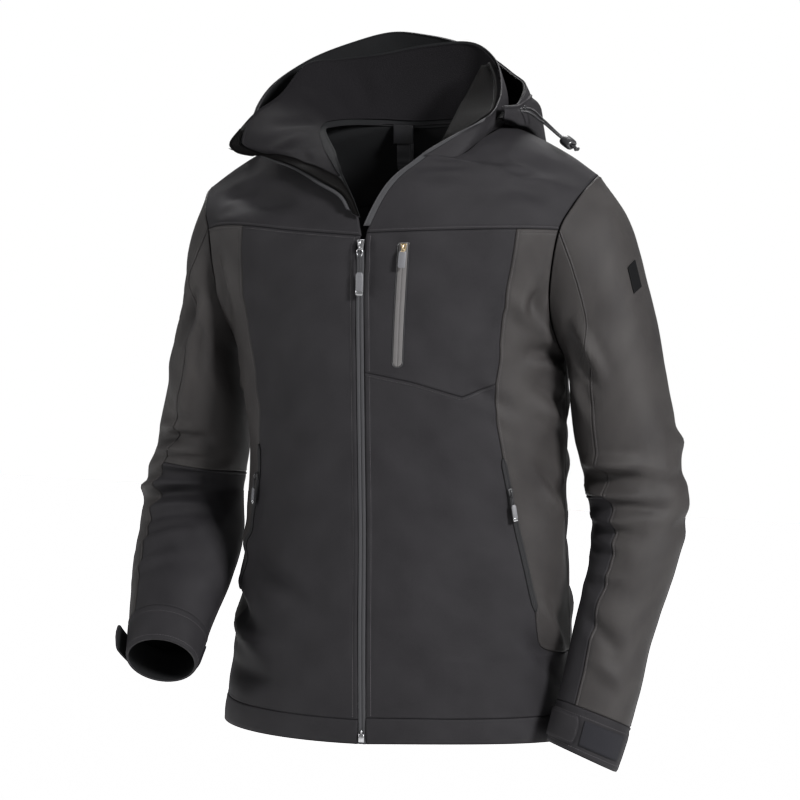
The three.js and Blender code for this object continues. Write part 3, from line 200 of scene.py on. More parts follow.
# %% [markdown]
# The body form. A row runs from the centre line, the open zip edge or the neckline to the side seam or
# the armhole. Rows 0 to 12 climb the front to the shoulder line, 12 to 24 go down the back.
# %% Body rows
# centre x y z, flat stretch, side x y z, turn at the side, its heading, heights of the two turns
BODY_LEFT = [
    [0, -138, -686, 120, 213, 4, -697, 80, 90, -0.9, 0.05],
    [0, -139, -560, 115, 212, 4, -565, 78, 90, 0.3, 0.7],
    [0, -136, -430, 108, 205, 4, -432, 74, 90, 0.3, 0.7],
    [0, -139, -330, 110, 206, 2, -330, 74, 90, 0.3, 0.7],
    [0, -142, -240, 115, 205, 0, -236, 70, 88, 0.3, 0.7],
    [0, -143, -172, 115, 200, -56, -174, 42, 52, 0.3, 0.7],
    [0, -141, -125, 112, 205, -67, -128, 40, 48, 0.3, 0.7],
    [6, -138, -86, 105, 213, -65, -83.5, 42, 46, 3, 3],
    [36, -123, -27, 72, 222, -48, -60, 46, 40, 0.12, 0.5],
    [70, -108, 2, 48, 230, -31, -44, 50, 28, 0.12, 0.5],
    [99, -95, 0, 34, 235, -15, -35, 50, 14, 0.1, 0.45],
    [118, -50, 19, 32, 238, -2, -29, 46, 4, 0.1, 0.45],
    [124, 8, 28, 34, 240, 9, -27, 42, -2, 0.1, 0.45],
    [102, 46, 28, 45, 239, 20, -30, 46, -8, 0.1, 0.5],
    [58, 71, 27, 62, 236, 32, -38, 48, -20, 0.12, 0.5],
    [0, 79, 22, 92, 230, 46, -52, 46, -34, 0.12, 0.5],
    [0, 106, -20, 105, 219, 62, -76, 42, -46, 0.2, 0.6],
    [0, 124, -72, 110, 209, 70, -106, 40, -50, 0.3, 0.7],
    [0, 134, -130, 112, 202, 66, -150, 42, -56, 0.3, 0.7],
    [0, 136, -180, 112, 200, 48, -192, 50, -70, 0.3, 0.7],
    [0, 132, -240, 112, 205, 0, -236, 66, -90, 0.3, 0.7],
    [0, 122, -330, 108, 206, 2, -330, 64, -90, 0.3, 0.7],
    [0, 114, -432, 106, 205, 4, -432, 62, -90, 0.3, 0.7],
    [0, 124, -566, 115, 212, 4, -565, 68, -90, 0.3, 0.7],
    [0, 132, -710, 120, 213, 4, -697, 72, -90, 0.3, 0.7],
]
BODY_RIGHT = [
    [0, -138, -686, 120, -219, 4, -701, 80, 90, 0.3, 0.7],
    [0, -139, -560, 112, -200, 4, -565, 78, 90, 0.3, 0.7],
    [0, -136, -430, 104, -184, 4, -432, 74, 90, 0.3, 0.7],
    [0, -139, -330, 106, -187, 2, -330, 74, 90, 0.3, 0.7],
    [0, -142, -240, 112, -199, 0, -240, 70, 88, 0.3, 0.7],
    [0, -143, -172, 115, -202, -56, -180, 42, 52, 0.3, 0.7],
    [0, -141, -125, 112, -209, -66, -138, 40, 48, 0.3, 0.7],
    [0, -138, -89, 105, -215, -64, -96, 42, 46, -0.2, -1.2],
    [-14, -119, -55, 84, -226, -45, -80, 46, 40, 0.4, 0.7],
    [-34, -99, -33, 66, -232, -28, -68, 50, 28, 0.4, 0.6],
    [-56, -76, -16, 56, -236, -14, -61, 50, 14, 0.3, 0.55],
    [-76, -44, 0, 48, -238, -4, -57, 50, 4, 0.15, 0.5],
    [-98, 6, 16, 42, -239, 6, -55, 46, -2, 0.1, 0.45],
    [-99, 46, 21, 46, -238, 16, -57, 46, -8, 0.1, 0.5],
    [-62, 72, 23, 64, -236, 28, -63, 48, -20, 0.12, 0.5],
    [0, 79, 22, 94, -230, 44, -74, 46, -34, 0.12, 0.5],
    [0, 106, -20, 105, -221, 60, -92, 42, -46, 0.2, 0.6],
    [0, 124, -72, 110, -211, 69, -114, 40, -50, 0.3, 0.7],
    [0, 134, -130, 112, -203, 66, -154, 42, -56, 0.3, 0.7],
    [0, 136, -180, 112, -200, 48, -194, 50, -70, 0.3, 0.7],
    [0, 132, -240, 110, -199, 0, -240, 66, -90, 0.3, 0.7],
    [0, 122, -330, 104, -187, 2, -330, 64, -90, 0.3, 0.7],
    [0, 114, -432, 102, -184, 4, -432, 62, -90, 0.3, 0.7],
    [0, 124, -566, 112, -200, 4, -565, 68, -90, 0.3, 0.7],
    [0, 132, -710, 120, -219, 4, -701, 72, -90, 0.3, 0.7],
]
ARMPIT_ROW = 4
YOKE_ROW = 7
OPEN_EDGE_ROW = 9
SHOULDER_ROW = 12
NECK_BACK_ROW = 15
BACK_YOKE_ROW = 17
BACK_ARMPIT_ROW = 20
LAST_ROW = 24


def body_controls(row):
    """The four control points of a row, from its table values."""
    cx, cy, cz, stretch, ex, ey, ez, turn, heading, drop_a, drop_b = row
    side = math.copysign(1, ex)
    slope = math.radians(heading)
    return [
        (cx, cy, cz),
        (cx + side * stretch, cy, mix(cz, ez, drop_a)),
        (ex - side * turn * math.cos(slope), ey - turn * math.sin(slope), mix(cz, ez, drop_b)),
        (ex, ey, ez),
    ]


BODY_CORNERS = [
    (0, OPEN_EDGE_ROW, None, None),
    (0, NECK_BACK_ROW, None, None),
    (3, ARMPIT_ROW, (0, -75, 12), None),
    (3, BACK_ARMPIT_ROW, None, (0, -65, -10)),
]


# Normals are read this far in from the ends of the rows.
END_MARGIN = 0.006


class Body:
    """One half of the body: its rows, which way its side lies, and its folds and creases."""

    def __init__(self, rows, side, folds):
        self.loft = Loft([body_controls(r) for r in rows], BODY_CORNERS)
        self.side = side
        self.folds = folds
        self.lines = []

    def smooth(self, u, v):
        return both(lambda a, b: curve_point(self.loft.at(b), a), u, v)

    def normal(self, u, v):
        u = np.clip(u, END_MARGIN, 1 - END_MARGIN)
        return normals_of(self.smooth, u, np.clip(v, END_MARGIN, LAST_ROW - END_MARGIN), self.side)


# Large folds, the same as in the solids: both ends, width in shares of a row, height in mm.
FOLDS_LEFT = [
    (0.78, 1.55, 1.0, 2.35, 0.10, 5),
    (0.55, 2.1, 0.98, 3.0, 0.09, -4),
    (0.72, 2.9, 0.98, 3.9, 0.08, 4),
    (0.45, 4.6, 0.8, 6.2, 0.10, -3.5),
    (0.25, 7.8, 0.7, 8.3, 0.09, -3),
]
FOLDS_RIGHT = [
    (0.7, 1.5, 0.98, 2.2, 0.10, 4),
    (0.5, 2.2, 0.96, 3.1, 0.09, -4),
    (0.3, 4.8, 0.75, 6.4, 0.10, -3.5),
    (0.25, 7.7, 0.75, 9.2, 0.12, -5),
]
LEFT = Body(BODY_LEFT, 1, FOLDS_LEFT)
RIGHT = Body(BODY_RIGHT, -1, FOLDS_RIGHT)
print("body rows", len(BODY_LEFT))

# %% [markdown]
# Creases are listed one by one: a line on the form between two places, how wide it is and how high
# it stands or how deep it sinks, in millimetres. Each line fades out at its ends, as a pulled fold does,
# and has a shallow hollow on each side.
# %% Creases on a form
ROW_SHARE = 0.25
CREASE_POINTS = 9
CREASE_REACH = 2.6
HOLLOW = 0.42
HOLLOW_AT = 1.5
SLOW_WAVE = 62.0
SLOW_HEIGHT = 1.3
FINE_WAVE = 21.0
FINE_HEIGHT = 0.3
FINE_SHIFT = Vector((7, 3, 1))


def swell(t):
    """How strong a large fold is along its line: full in the middle, a third at its ends."""
    return 0.35 + 0.65 * np.sin(np.pi * np.clip(t, 0.05, 0.95))


def fold_heights(folds, u, v):
    total = np.zeros_like(u)
    for u0, v0, u1, v1, width, height in folds:
        du = u1 - u0
        dv = (v1 - v0) * ROW_SHARE
        t = np.clip(((u - u0) * du + (v - v0) * ROW_SHARE * dv) / (du * du + dv * dv), 0, 1)
        away = ((u - u0 - t * du) ** 2 + ((v - v0) * ROW_SHARE - t * dv) ** 2) / width**2
        total += height * np.exp(-away) * swell(t)
    return total


def crease_lines(point, table):
    """Each crease becomes a chain of points on the form."""
    lines = []
    for a0, b0, a1, b1, width, height in table:
        t = np.linspace(0, 1, CREASE_POINTS)
        lines.append((point(mix(a0, a1, t), mix(b0, b1, t)), width, height))
    return lines


def relief(points, lines):
    """How far the creases lift or sink each point."""
    total = np.zeros(len(points))
    for chain, width, height in lines:
        reach = CREASE_REACH * width
        near = np.all((points > chain.min(0) - reach) & (points < chain.max(0) + reach), axis=1)
        q = points[near]
        if not len(q):
            continue
        best = np.full(len(q), 1e9)
        place = np.zeros(len(q))
        for k in range(len(chain) - 1):
            way = chain[k + 1] - chain[k]
            t = np.clip((q - chain[k]) @ way / (way @ way), 0, 1)
            away = np.linalg.norm(q - chain[k] - t[:, None] * way, axis=1)
            closer = away < best
            best[closer] = away[closer]
            place[closer] = (k + t[closer]) / (len(chain) - 1)
        fade = np.sin(np.pi * np.clip(place, 0.03, 0.97)) ** 0.8
        side = hill(best, width) - HOLLOW * hill(best - HOLLOW_AT * width, width)
        total[near] += height * fade * side
    return total


def ripple(points):
    """The slow unevenness of cloth that hangs: about a millimetre, over a hand's width."""
    slow = np.array([noise.noise(Vector(p) / SLOW_WAVE) for p in points])
    fine = np.array([noise.noise(Vector(p) / FINE_WAVE + FINE_SHIFT) for p in points])
    return SLOW_HEIGHT * slow + FINE_HEIGHT * fine


def creased(p, n, lines, fade, folds=0.0):
    """Points of a form, moved along their normals by creases, ripples and large folds."""
    flat = p.reshape(-1, 3)
    height = (relief(flat, lines) + ripple(flat)).reshape(p.shape[:-1]) + folds
    return p + n * (height * fade)[..., None]


# Body creases: u and v of each end, width and height in mm.
CREASES_LEFT = [
    (0.93, 5.55, 0.80, 4.75, 9.1, -6.8),
    (0.97, 5.0, 0.84, 4.3, 7.8, 5.2),
    (0.70, 5.2, 0.93, 4.35, 9.1, 4.5),
    (0.66, 4.25, 0.97, 4.15, 9.1, -5.2),
    (0.70, 4.0, 0.99, 3.75, 7.8, 5.2),
    (0.68, 3.75, 0.99, 3.35, 9.1, -6),
    (0.70, 3.45, 0.97, 3.1, 7.8, 4.5),
    (0.74, 2.75, 0.99, 2.2, 7.8, -6),
    (0.78, 2.4, 0.98, 1.95, 6.5, 4.5),
    (0.40, 3.78, 0.58, 3.35, 9.1, -3.9),
    (0.45, 3.62, 0.62, 3.15, 7.8, 2.7),
    (0.72, 1.35, 0.93, 0.75, 10.4, 6.8),
    (0.62, 1.1, 0.9, 0.5, 11.7, -5.2),
    (0.10, 8.6, 0.34, 8.95, 7.8, -3.8),
    (0.05, 8.15, 0.3, 8.55, 7.8, 3),
    (0.46, 9.3, 0.70, 9.1, 7.8, -3.8),
    (0.44, 9.75, 0.62, 9.5, 6.5, 3.3),
    (0.55, 8.5, 0.85, 8.2, 11.7, -3.3),
    (0.6, 20.4, 0.98, 21.0, 10.4, -6),
    (0.55, 21.0, 0.97, 21.5, 10.4, 5.2),
    (0.5, 21.6, 0.98, 22.3, 11.7, -6.8),
    (0.45, 22.4, 0.98, 22.9, 11.7, 5.2),
    (0.3, 18.6, 0.8, 19.6, 14.3, -4.5),
    (0.1, 21.2, 0.5, 21.5, 13, -3.9),
    (0.2, 22.8, 0.7, 23.3, 13, 3.9),
]
CREASES_RIGHT = [
    (0.30, 8.2, 0.72, 8.9, 18.2, -6.8),
    (0.26, 7.75, 0.60, 8.3, 11.7, 3.6),
    (0.52, 9.6, 0.84, 9.0, 11.7, -3.8),
    (0.90, 6.4, 0.86, 4.9, 10.4, -7.5),
    (0.97, 5.6, 0.95, 4.4, 7.8, 5.2),
    (0.84, 4.0, 0.99, 3.7, 7.8, -4.5),
    (0.82, 3.6, 0.99, 3.3, 7.8, 4.5),
    (0.60, 1.0, 0.94, 1.25, 15.6, -9),
    (0.42, 0.75, 0.80, 0.95, 14.3, 6),
    (0.35, 0.5, 0.88, 0.55, 13, -5.2),
    (0.20, 1.25, 0.62, 1.55, 15.6, -4.8),
    (0.55, 1.62, 0.9, 1.75, 11.7, 3.8),
    (0.2, 3.6, 0.6, 3.2, 15.6, -2.4),
    (0.6, 20.3, 0.98, 20.9, 10.4, -6),
    (0.5, 21.1, 0.97, 21.7, 11.7, 5.4),
    (0.55, 21.9, 0.98, 22.4, 10.4, -6),
    (0.4, 22.5, 0.95, 23.1, 13, 5.1),
    (0.35, 18.4, 0.85, 19.4, 14.3, -4.5),
    (0.15, 22.1, 0.55, 22.4, 13, -3.9),
]
LEFT.lines = crease_lines(LEFT.smooth, CREASES_LEFT)
RIGHT.lines = crease_lines(RIGHT.smooth, CREASES_RIGHT)
print("body creases", len(CREASES_LEFT) + len(CREASES_RIGHT))

# %% [markdown]
# Two ways to find a place on the body: by its distance from the centre line on a given row, and by its
# height at a given place across. Both halve a range until it is narrow enough, which needs no formula
# for the form.
# %% Places on the body
HALVINGS = 24


def body(form, u, v):
    """Points and outward normals of the creased body at arrays of positions."""
    u, v = np.broadcast_arrays(np.asarray(u, float), np.asarray(v, float))
    p = form.smooth(u, v)
    n = form.normal(u, v)
    # Folds end before the side seam and calm down at the yoke seam; creases end at the hem too.
    fade = np.clip(np.minimum((1 - u) / 0.08, np.abs(v - YOKE_ROW) / 0.4 + 0.2), 0, 1)
    height = fold_heights(form.folds, u, v) * fade
    edge = np.clip(np.minimum((1 - u) / 0.05, np.minimum(v, LAST_ROW - v) / 0.35), 0, 1)
    flat = p.reshape(-1, 3)
    extra = relief(flat, form.lines).reshape(u.shape) * np.clip(edge + 0.25, 0, 1)
    extra += ripple(flat).reshape(u.shape) * edge
    return p + n * (height + extra)[..., None], n


def halved(low, high, is_short):
    """Closes in on the place between low and high where is_short turns false."""
    for _ in range(HALVINGS):
        middle = (low + high) / 2
        short = is_short(middle)
        low = np.where(short, middle, low)
        high = np.where(short, high, middle)
    return (low + high) / 2


def across(form, v, x):
    """Where row v of a form is x millimetres from the centre line."""
    v, x = np.broadcast_arrays(np.asarray(v, float), np.asarray(x, float))
    return halved(np.zeros(v.shape), np.ones(v.shape), lambda u: np.abs(form.smooth(u, v)[..., 0]) < x)


def row_at(form, u, z, low, high):
    """The row between two others where the form is at height z."""
    u, z = np.broadcast_arrays(np.asarray(u, float), np.asarray(z, float))
    low = np.full(u.shape, float(low))
    high = np.full(u.shape, float(high))
    rising = form.smooth(u, high)[..., 2] > form.smooth(u, low)[..., 2]
    return halved(low, high, lambda v: (form.smooth(u, v)[..., 2] < z) == rising)


print("centre of the hem at", [round(float(x)) for x in LEFT.smooth(0, 0)])


# %% [markdown]
# Every finish is a node material. One function adds a node with its settings and links, and one turns
# the colours, written as sRGB hex values, into the linear values that the shader wants.
# %% Node helpers
def colour(hex_value):
    parts = [int(hex_value[i:i + 2], 16) / 255 for i in (0, 2, 4)]
    linear = [c / 12.92 if c <= 0.04045 else ((c + 0.055) / 1.055) ** 2.4 for c in parts]
    return (*linear, 1.0)


def add(tree, kind, inputs=None, stops=(), **settings):
    """Adds a node. Inputs hold values, or sockets to link from; stops are a ramp's two colours."""
    made = tree.nodes.new(kind)
    for name, value in settings.items():
        setattr(made, name, value)
    for name, value in (inputs or {}).items():
        if isinstance(value, bpy.types.NodeSocket):
            tree.links.new(value, made.inputs[name])
        else:
            made.inputs[name].default_value = value
    for i, (place, shade) in enumerate(stops):
        made.color_ramp.elements[i].position = place
        made.color_ramp.elements[i].color = shade
    return made


def new_material(name):
    material = bpy.data.materials.new(name)
    material.use_nodes = True
    material.node_tree.nodes.clear()
    return material, material.node_tree


def close_material(tree, inputs, height=None, strength=0.0, distance=0.0):
    """Ends a material: its relief from a height, the shader with its values, and the output."""
    if height:
        bump = add(tree, "ShaderNodeBump", {"Height": height, "Strength": strength, "Distance": distance})
        inputs = {**inputs, "Normal": bump.outputs["Normal"]}
    shader = add(tree, "ShaderNodeBsdfPrincipled", inputs)
    add(tree, "ShaderNodeOutputMaterial", {"Surface": shader.outputs["BSDF"]})


print("black as the shader reads it", [round(x, 4) for x in colour("0f0e10")])

# %% [markdown]
# Softshell is a woven polyester face bonded to fleece. The weave is a fine plain one, about half a
# millimetre from thread to thread. That is under half a pixel here, so the eye sees mostly the mottle
# of slightly lighter and darker yarns. The face has a soft sheen at grazing angles. Patterns are read
# in millimetres along and across the threads, which each mesh carries as its lay.
# %% Softshell materials
# The bands of a wave texture repeat at this distance when its scale is 1.
WAVE_PERIOD = math.pi / 10
# About 0.47 mm from thread to thread.
THREAD_PITCH = 1.5 * WAVE_PERIOD
YARN_SCALE = 0.3
PATCH_SCALE = 0.018
MOTTLE_SHARE = 0.5


def softshell(name, dark, light, roughness, sheen, gloss):
    material, tree = new_material(name)
    lay = add(tree, "ShaderNodeAttribute", attribute_name="lay").outputs["Vector"]
    threads = []
    for direction in ("X", "Y"):
        band = {"Vector": lay, "Scale": WAVE_PERIOD / THREAD_PITCH, "Distortion": 0.6, "Detail": 1.0,
                "Detail Scale": 0.4}
        threads.append(add(tree, "ShaderNodeTexWave", band, wave_type="BANDS",
                           bands_direction=direction).outputs["Fac"])
    weave = add(tree, "ShaderNodeMath", {0: threads[0], 1: threads[1]}, operation="MULTIPLY").outputs[0]
    yarns = add(tree, "ShaderNodeTexNoise",
                {"Vector": lay, "Scale": YARN_SCALE, "Detail": 4.0, "Roughness": 0.75}).outputs["Fac"]
    patches = add(tree, "ShaderNodeTexNoise",
                  {"Vector": lay, "Scale": PATCH_SCALE, "Detail": 2.0}).outputs["Fac"]
    blend = add(tree, "ShaderNodeMath", {0: yarns, 1: MOTTLE_SHARE}, operation="MULTIPLY").outputs[0]
    for layer in (weave, patches):
        blend = add(tree, "ShaderNodeMath", {0: blend, 1: layer}, operation="ADD").outputs[0]
    half = add(tree, "ShaderNodeMath", {0: blend, 1: 0.5}, operation="MULTIPLY").outputs[0]
    tint = add(tree, "ShaderNodeValToRGB", {"Fac": half}, [(0.25, colour(dark)), (0.75, colour(light))])
    grain = add(tree, "ShaderNodeMath", {0: weave, 1: yarns}, operation="ADD").outputs[0]
    close_material(tree, {
        "Base Color": tint.outputs["Color"],
        "Roughness": roughness,
        "IOR": 1.46,
        "Specular IOR Level": gloss,
        "Sheen Weight": sheen,
        "Sheen Roughness": 0.45,
        "Sheen Tint": colour(light),
    }, grain, 0.35, 0.0003)
    return material


# The black and the grey face reflect a little; the side worn inside and the facing hardly do.
black_softshell = softshell("woven_softshell_black", "0f0e10", "212022", 0.68, 0.03, 0.12)
grey_softshell = softshell("woven_softshell_grey", "161415", "2d2b2a", 0.58, 0.04, 0.17)
inside_softshell = softshell("softshell_inside_face", "0f1011", "181819", 0.85, 0.03, 0.08)
# The facing is near black, darker than the outer cloth: painted shade of the inside of the collar.
facing_softshell_painted_shade = softshell("softshell_facing_painted_shade", "050505", "0a0909", 0.85, 0.0, 0.03)
BLACK_FACES = [black_softshell, inside_softshell]
GREY_FACES = [grey_softshell, inside_softshell]
print("softshell materials made")


# %% [markdown]
# The fleece inside the collar is a brushed knit: very matt, with a nap that stands in small tufts. Hook
# tape is drawn the same way at a finer pitch. Tape, cord and thread show ridges at one pitch.
# %% Fleece, tape, thread and cord materials
def pile(name, dark, light, tuft, sheen):
    material, tree = new_material(name)
    lay = add(tree, "ShaderNodeAttribute", attribute_name="lay").outputs["Vector"]
    tufts = add(tree, "ShaderNodeTexNoise",
                {"Vector": lay, "Scale": 1 / tuft, "Detail": 5.0, "Roughness": 0.7}).outputs["Fac"]
    tint = add(tree, "ShaderNodeValToRGB", {"Fac": tufts}, [(0.35, colour(dark)), (0.7, colour(light))])
    close_material(tree, {
        "Base Color": tint.outputs["Color"],
        "Roughness": 0.95,
        "Specular IOR Level": 0.12,
        "Sheen Weight": sheen,
        "Sheen Roughness": 0.6,
        "Sheen Tint": colour(light),
    }, tufts, 0.8, 0.0012)
    return material


def ribbed(name, dark, light, pitch, roughness=0.75, direction="Y"):
    """Tape, webbing, braid or thread: a row of ridges at one pitch."""
    material, tree = new_material(name)
    lay = add(tree, "ShaderNodeAttribute", attribute_name="lay").outputs["Vector"]
    ridges = add(tree, "ShaderNodeTexWave", {"Vector": lay, "Scale": 0.314 / pitch, "Distortion": 0.2},
                 wave_type="BANDS", bands_direction=direction).outputs["Fac"]
    specks = add(tree, "ShaderNodeTexNoise", {"Vector": lay, "Scale": 1.3, "Detail": 3.0}).outputs["Fac"]
    total = add(tree, "ShaderNodeMath", {0: ridges, 1: specks}, operation="ADD").outputs[0]
    half = add(tree, "ShaderNodeMath", {0: total, 1: 0.5}, operation="MULTIPLY").outputs[0]
    tint = add(tree, "ShaderNodeValToRGB", {"Fac": half}, [(0.2, colour(dark)), (0.8, colour(light))])
    close_material(tree, {
        "Base Color": tint.outputs["Color"],
        "Roughness": roughness,
        "Specular IOR Level": 0.2,
    }, ridges, 0.7, 0.0003)
    return material


brushed_fleece = pile("brushed_polyester_fleece", "060507", "121113", 1.6, 0.03)
hook_tape = pile("hook_tape", "0c0c0e", "26262a", 0.9, 0.04)
zip_tape_grey = ribbed("woven_zip_tape_grey", "3a3939", "545252", 1.1)
charcoal_tape = ribbed("woven_zip_tape_charcoal", "222224", "343436", 1.2)
pocket_tape = ribbed("woven_zip_tape_deep", "0c0c0d", "1a1a1c", 1.2)
polyester_thread = ribbed("polyester_thread", "2c2b2d", "4c494b", 0.8, 0.6)
braided_cord = ribbed("braided_polyester_cord", "161617", "2b2b2d", 1.2, 0.55)
satin_webbing = ribbed("satin_webbing", "2c2c2e", "3d3d3f", 0.9, 0.45, "X")
label_satin = ribbed("woven_satin_label", "0e0e10", "1b1b1d", 0.7, 0.4)
print("fleece, tape, thread and cord materials made")


# %% [markdown]
# Moulded rubber and acetal have a smooth skin with a faint orange-peel texture; acetal shines more.
# The sliders and rings are metal, so their colour shows in the reflections themselves.
# %% Moulded and cast materials
def moulded(name, base, roughness, speck=0.04, metallic=0.0, gloss=0.5):
    material, tree = new_material(name)
    place = add(tree, "ShaderNodeTexCoord").outputs["Object"]
    skin = add(tree, "ShaderNodeTexNoise", {"Vector": place, "Scale": 900.0, "Detail": 3.0}).outputs["Fac"]
    rgba = colour(base)
    low = tuple(c * (1 - speck * 4) for c in rgba[:3]) + (1.0,)
    high = tuple(min(1, c * (1 + speck * 4)) for c in rgba[:3]) + (1.0,)
    tint = add(tree, "ShaderNodeValToRGB", {"Fac": skin}, [(0.3, low), (0.7, high)])
    close_material(tree, {
        "Base Color": tint.outputs["Color"],
        "Roughness": roughness,
        "Metallic": metallic,
        "Specular IOR Level": gloss,
    }, skin, 0.15, 0.0002)
    return material


acetal = moulded("moulded_acetal_black", "1a1a1c", 0.34)
soft_rubber = moulded("moulded_soft_rubber", "050506", 0.75, gloss=0.08)
tab_grey = moulded("moulded_rubber_grey", "47474a", 0.5)
cast_zinc = moulded("cast_zinc_antique", "b3a183", 0.28, 0.06, 1.0)
steel_pin = moulded("nickelled_steel", "9a9a9c", 0.25, 0.03, 1.0)
print("materials", len(bpy.data.materials))

# %% [markdown]
# A cloth piece starts as a grid of positions on its form. Rows and columns are added until no step is
# longer than about five millimetres, and more of them close to a seam, where the cloth rolls in, puffs
# over its turned-in allowance, and sinks again under the row of stitches.
# %% A finer grid, and the roll of a seam
ZIP_STITCH_IN = 6.5
SEAM_STEPS = (0.9, 2.2, STITCH_IN, 5.4, ZIP_STITCH_IN, 8.0)
STITCHED = {"s": STITCH_IN, "z": ZIP_STITCH_IN}
# A step of the even grid closer than this to one at a seam is left out.
TOO_CLOSE = 0.12
ROLL = 2.2


def positions(lengths, near_start, near_end):
    """Where to read a side of the grid, as a list of places counted in its own steps."""
    places = [0.0]
    for i, length in enumerate(lengths):
        count = max(1, int(math.ceil(length / STEP)))
        places += [i + (k + 1) / count for k in range(count)]
    total = len(lengths)
    extra = []
    for distance in SEAM_STEPS:
        if near_start:
            extra.append(walk(lengths, distance))
        if near_end:
            extra.append(total - walk(lengths[::-1], distance))
    ends = (0.0, float(total))
    clear = [p for p in places if all(abs(p - e) > TOO_CLOSE for e in extra) or p in ends]
    return np.array(sorted(set(clear + extra)))


def walk(lengths, distance):
    """The place, counted in steps, that lies a distance from the start."""
    for i, length in enumerate(lengths):
        if distance < length:
            return i + distance / length
        distance -= length
    return float(len(lengths)) / 2


def read_grid(grid, rows, cols):
    """Reads a grid between its points."""
    i = np.minimum(rows.astype(int), len(grid) - 2)
    j = np.minimum(cols.astype(int), grid.shape[1] - 2)
    a = (rows - i)[:, None, None]
    b = (cols - j)[None, :, None]
    near = mix(grid[i][:, j], grid[i][:, j + 1], b)
    far = mix(grid[i + 1][:, j], grid[i + 1][:, j + 1], b)
    return mix(near, far, a)


def run_lengths(p, axis):
    """How far each point of a grid lies from the edge, along one of its axes."""
    step = np.linalg.norm(np.diff(p, axis=axis), axis=2)
    start = np.zeros_like(np.take(step, [0], axis=axis))
    return np.concatenate([start, np.cumsum(step, axis=axis)], axis=axis)


def seam_relief(distance, stitched_at=None):
    shape = -hill(distance, 0.9) + 0.3 * hill(distance - ROLL, 1.3)
    if stitched_at:
        shape -= 0.7 * hill(distance - stitched_at, 1.0)
        shape += 0.35 * hill(distance - stitched_at + ROLL, 1.4)
    return shape


print("a seam sinks", round(-float(seam_relief(np.zeros(1))[0]), 2), "mm")

# %% [markdown]
# Real cloth has a thickness, so each piece is a closed wall: an outer face, an inner face and a rim.
# Neighbours part by a hair outside, which draws the seam, and their turned-in edges touch inside, so
# that no light comes through.
# %% From points to a cloth wall
SEAM_ALLOWANCE = 0.15
# An edge point moves at most this share of the way to its neighbour.
MOST_PULLED = 0.45
GARMENT = "garment"


def build_mesh(name, points, faces, lay=None, materials=(), smooth=True):
    mesh = bpy.data.meshes.new(name)
    mesh.from_pydata([tuple(p) for p in np.asarray(points) * MM], [], faces)
    if lay is not None:
        attribute = mesh.attributes.new("lay", "FLOAT_VECTOR", "POINT")
        attribute.data.foreach_set("vector", np.asarray(lay, np.float32).ravel())
    for polygon in mesh.polygons:
        polygon.use_smooth = smooth
    mesh.validate()
    mesh.update()
    made = bpy.data.objects.new(name, mesh)
    bpy.context.scene.collection.objects.link(made)
    for material in materials:
        mesh.materials.append(material)
    return made


def dress(made, node):
    """The piece rides with the garment and takes its solid's place."""
    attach(made, GARMENT)
    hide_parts(node)


def grid_faces(rows, cols, start=0, flip=False, ring=False):
    faces = []
    for i in range(rows - 1):
        for j in range(cols if ring else cols - 1):
            k = (j + 1) % cols
            near, far = start + i * cols, start + (i + 1) * cols
            quad = (near + j, near + k, far + k, far + j)
            faces.append(quad[::-1] if flip else quad)
    return faces


def pull_back(sheet, size, ring=False):
    """Draws the open edges of a sheet in by a size, or out by a negative one."""
    old = sheet.copy()
    ways = [(sheet, old)]
    if not ring:
        ways.append((sheet.swapaxes(0, 1), old.swapaxes(0, 1)))
    for new, was in ways:
        for edge, inner in ((0, 1), (-1, -2)):
            step = was[inner] - was[edge]
            length = np.maximum(np.linalg.norm(step, axis=1, keepdims=True), 1e-6)
            new[edge] += step * np.minimum(MOST_PULLED, size / length)
    return sheet


def wall(name, p, n, thickness, materials, lift=0.0, inset=SEAM, ring=False):
    """A closed thin wall. A second material is that of the inner face."""
    rows, cols = p.shape[:2]
    outer = pull_back(p + n * lift, inset, ring)
    inner = pull_back(p + n * (lift - thickness), -SEAM_ALLOWANCE if inset == SEAM else inset, ring)
    side = run_lengths(p, 1)
    down = run_lengths(p, 0)
    lay = np.stack([side, down, np.zeros_like(side)], -1).reshape(-1, 3)
    count = rows * cols
    faces = grid_faces(rows, cols, 0, False, ring)
    outside = len(faces)
    faces += grid_faces(rows, cols, count, True, ring)
    for j in range(cols if ring else cols - 1):
        k = (j + 1) % cols
        foot = (rows - 1) * cols
        faces.append((j, count + j, count + k, k))
        faces.append((foot + j, foot + k, count + foot + k, count + foot + j))
    if not ring:
        for i in range(rows - 1):
            a, b = i * cols, (i + 1) * cols
            faces.append((a, b, count + b, count + a))
            faces.append((a + cols - 1, count + a + cols - 1, count + b + cols - 1, b + cols - 1))
    # A sample of the outer faces shows whether they look out; if not, all faces turn over.
    q = outer.reshape(-1, 3)
    quads = np.array(faces[:outside:7])
    across_quad = np.cross(q[quads[:, 1]] - q[quads[:, 0]], q[quads[:, 3]] - q[quads[:, 0]])
    if (across_quad * n.reshape(-1, 3)[quads[:, 0]]).sum() < 0:
        faces = [f[::-1] for f in faces]
    points = np.concatenate([q, inner.reshape(-1, 3)])
    made = build_mesh(name, points, faces, np.concatenate([lay, lay]), materials)
    if len(materials) > 1:
        marks = np.zeros(len(faces), np.int32)
        marks[outside:2 * outside] = 1
        made.data.polygons.foreach_set("material_index", marks)
    return made


print("a wall has", len(grid_faces(3, 3)), "faces on each side of a grid of three by three")

# %% [markdown]
# Topstitching runs a set distance inside a seam. Here the lines are only collected, and all stitches
# become one mesh at the end.
# %% Lines of stitches
STITCH_SHARE = 0.72
all_stitches = []


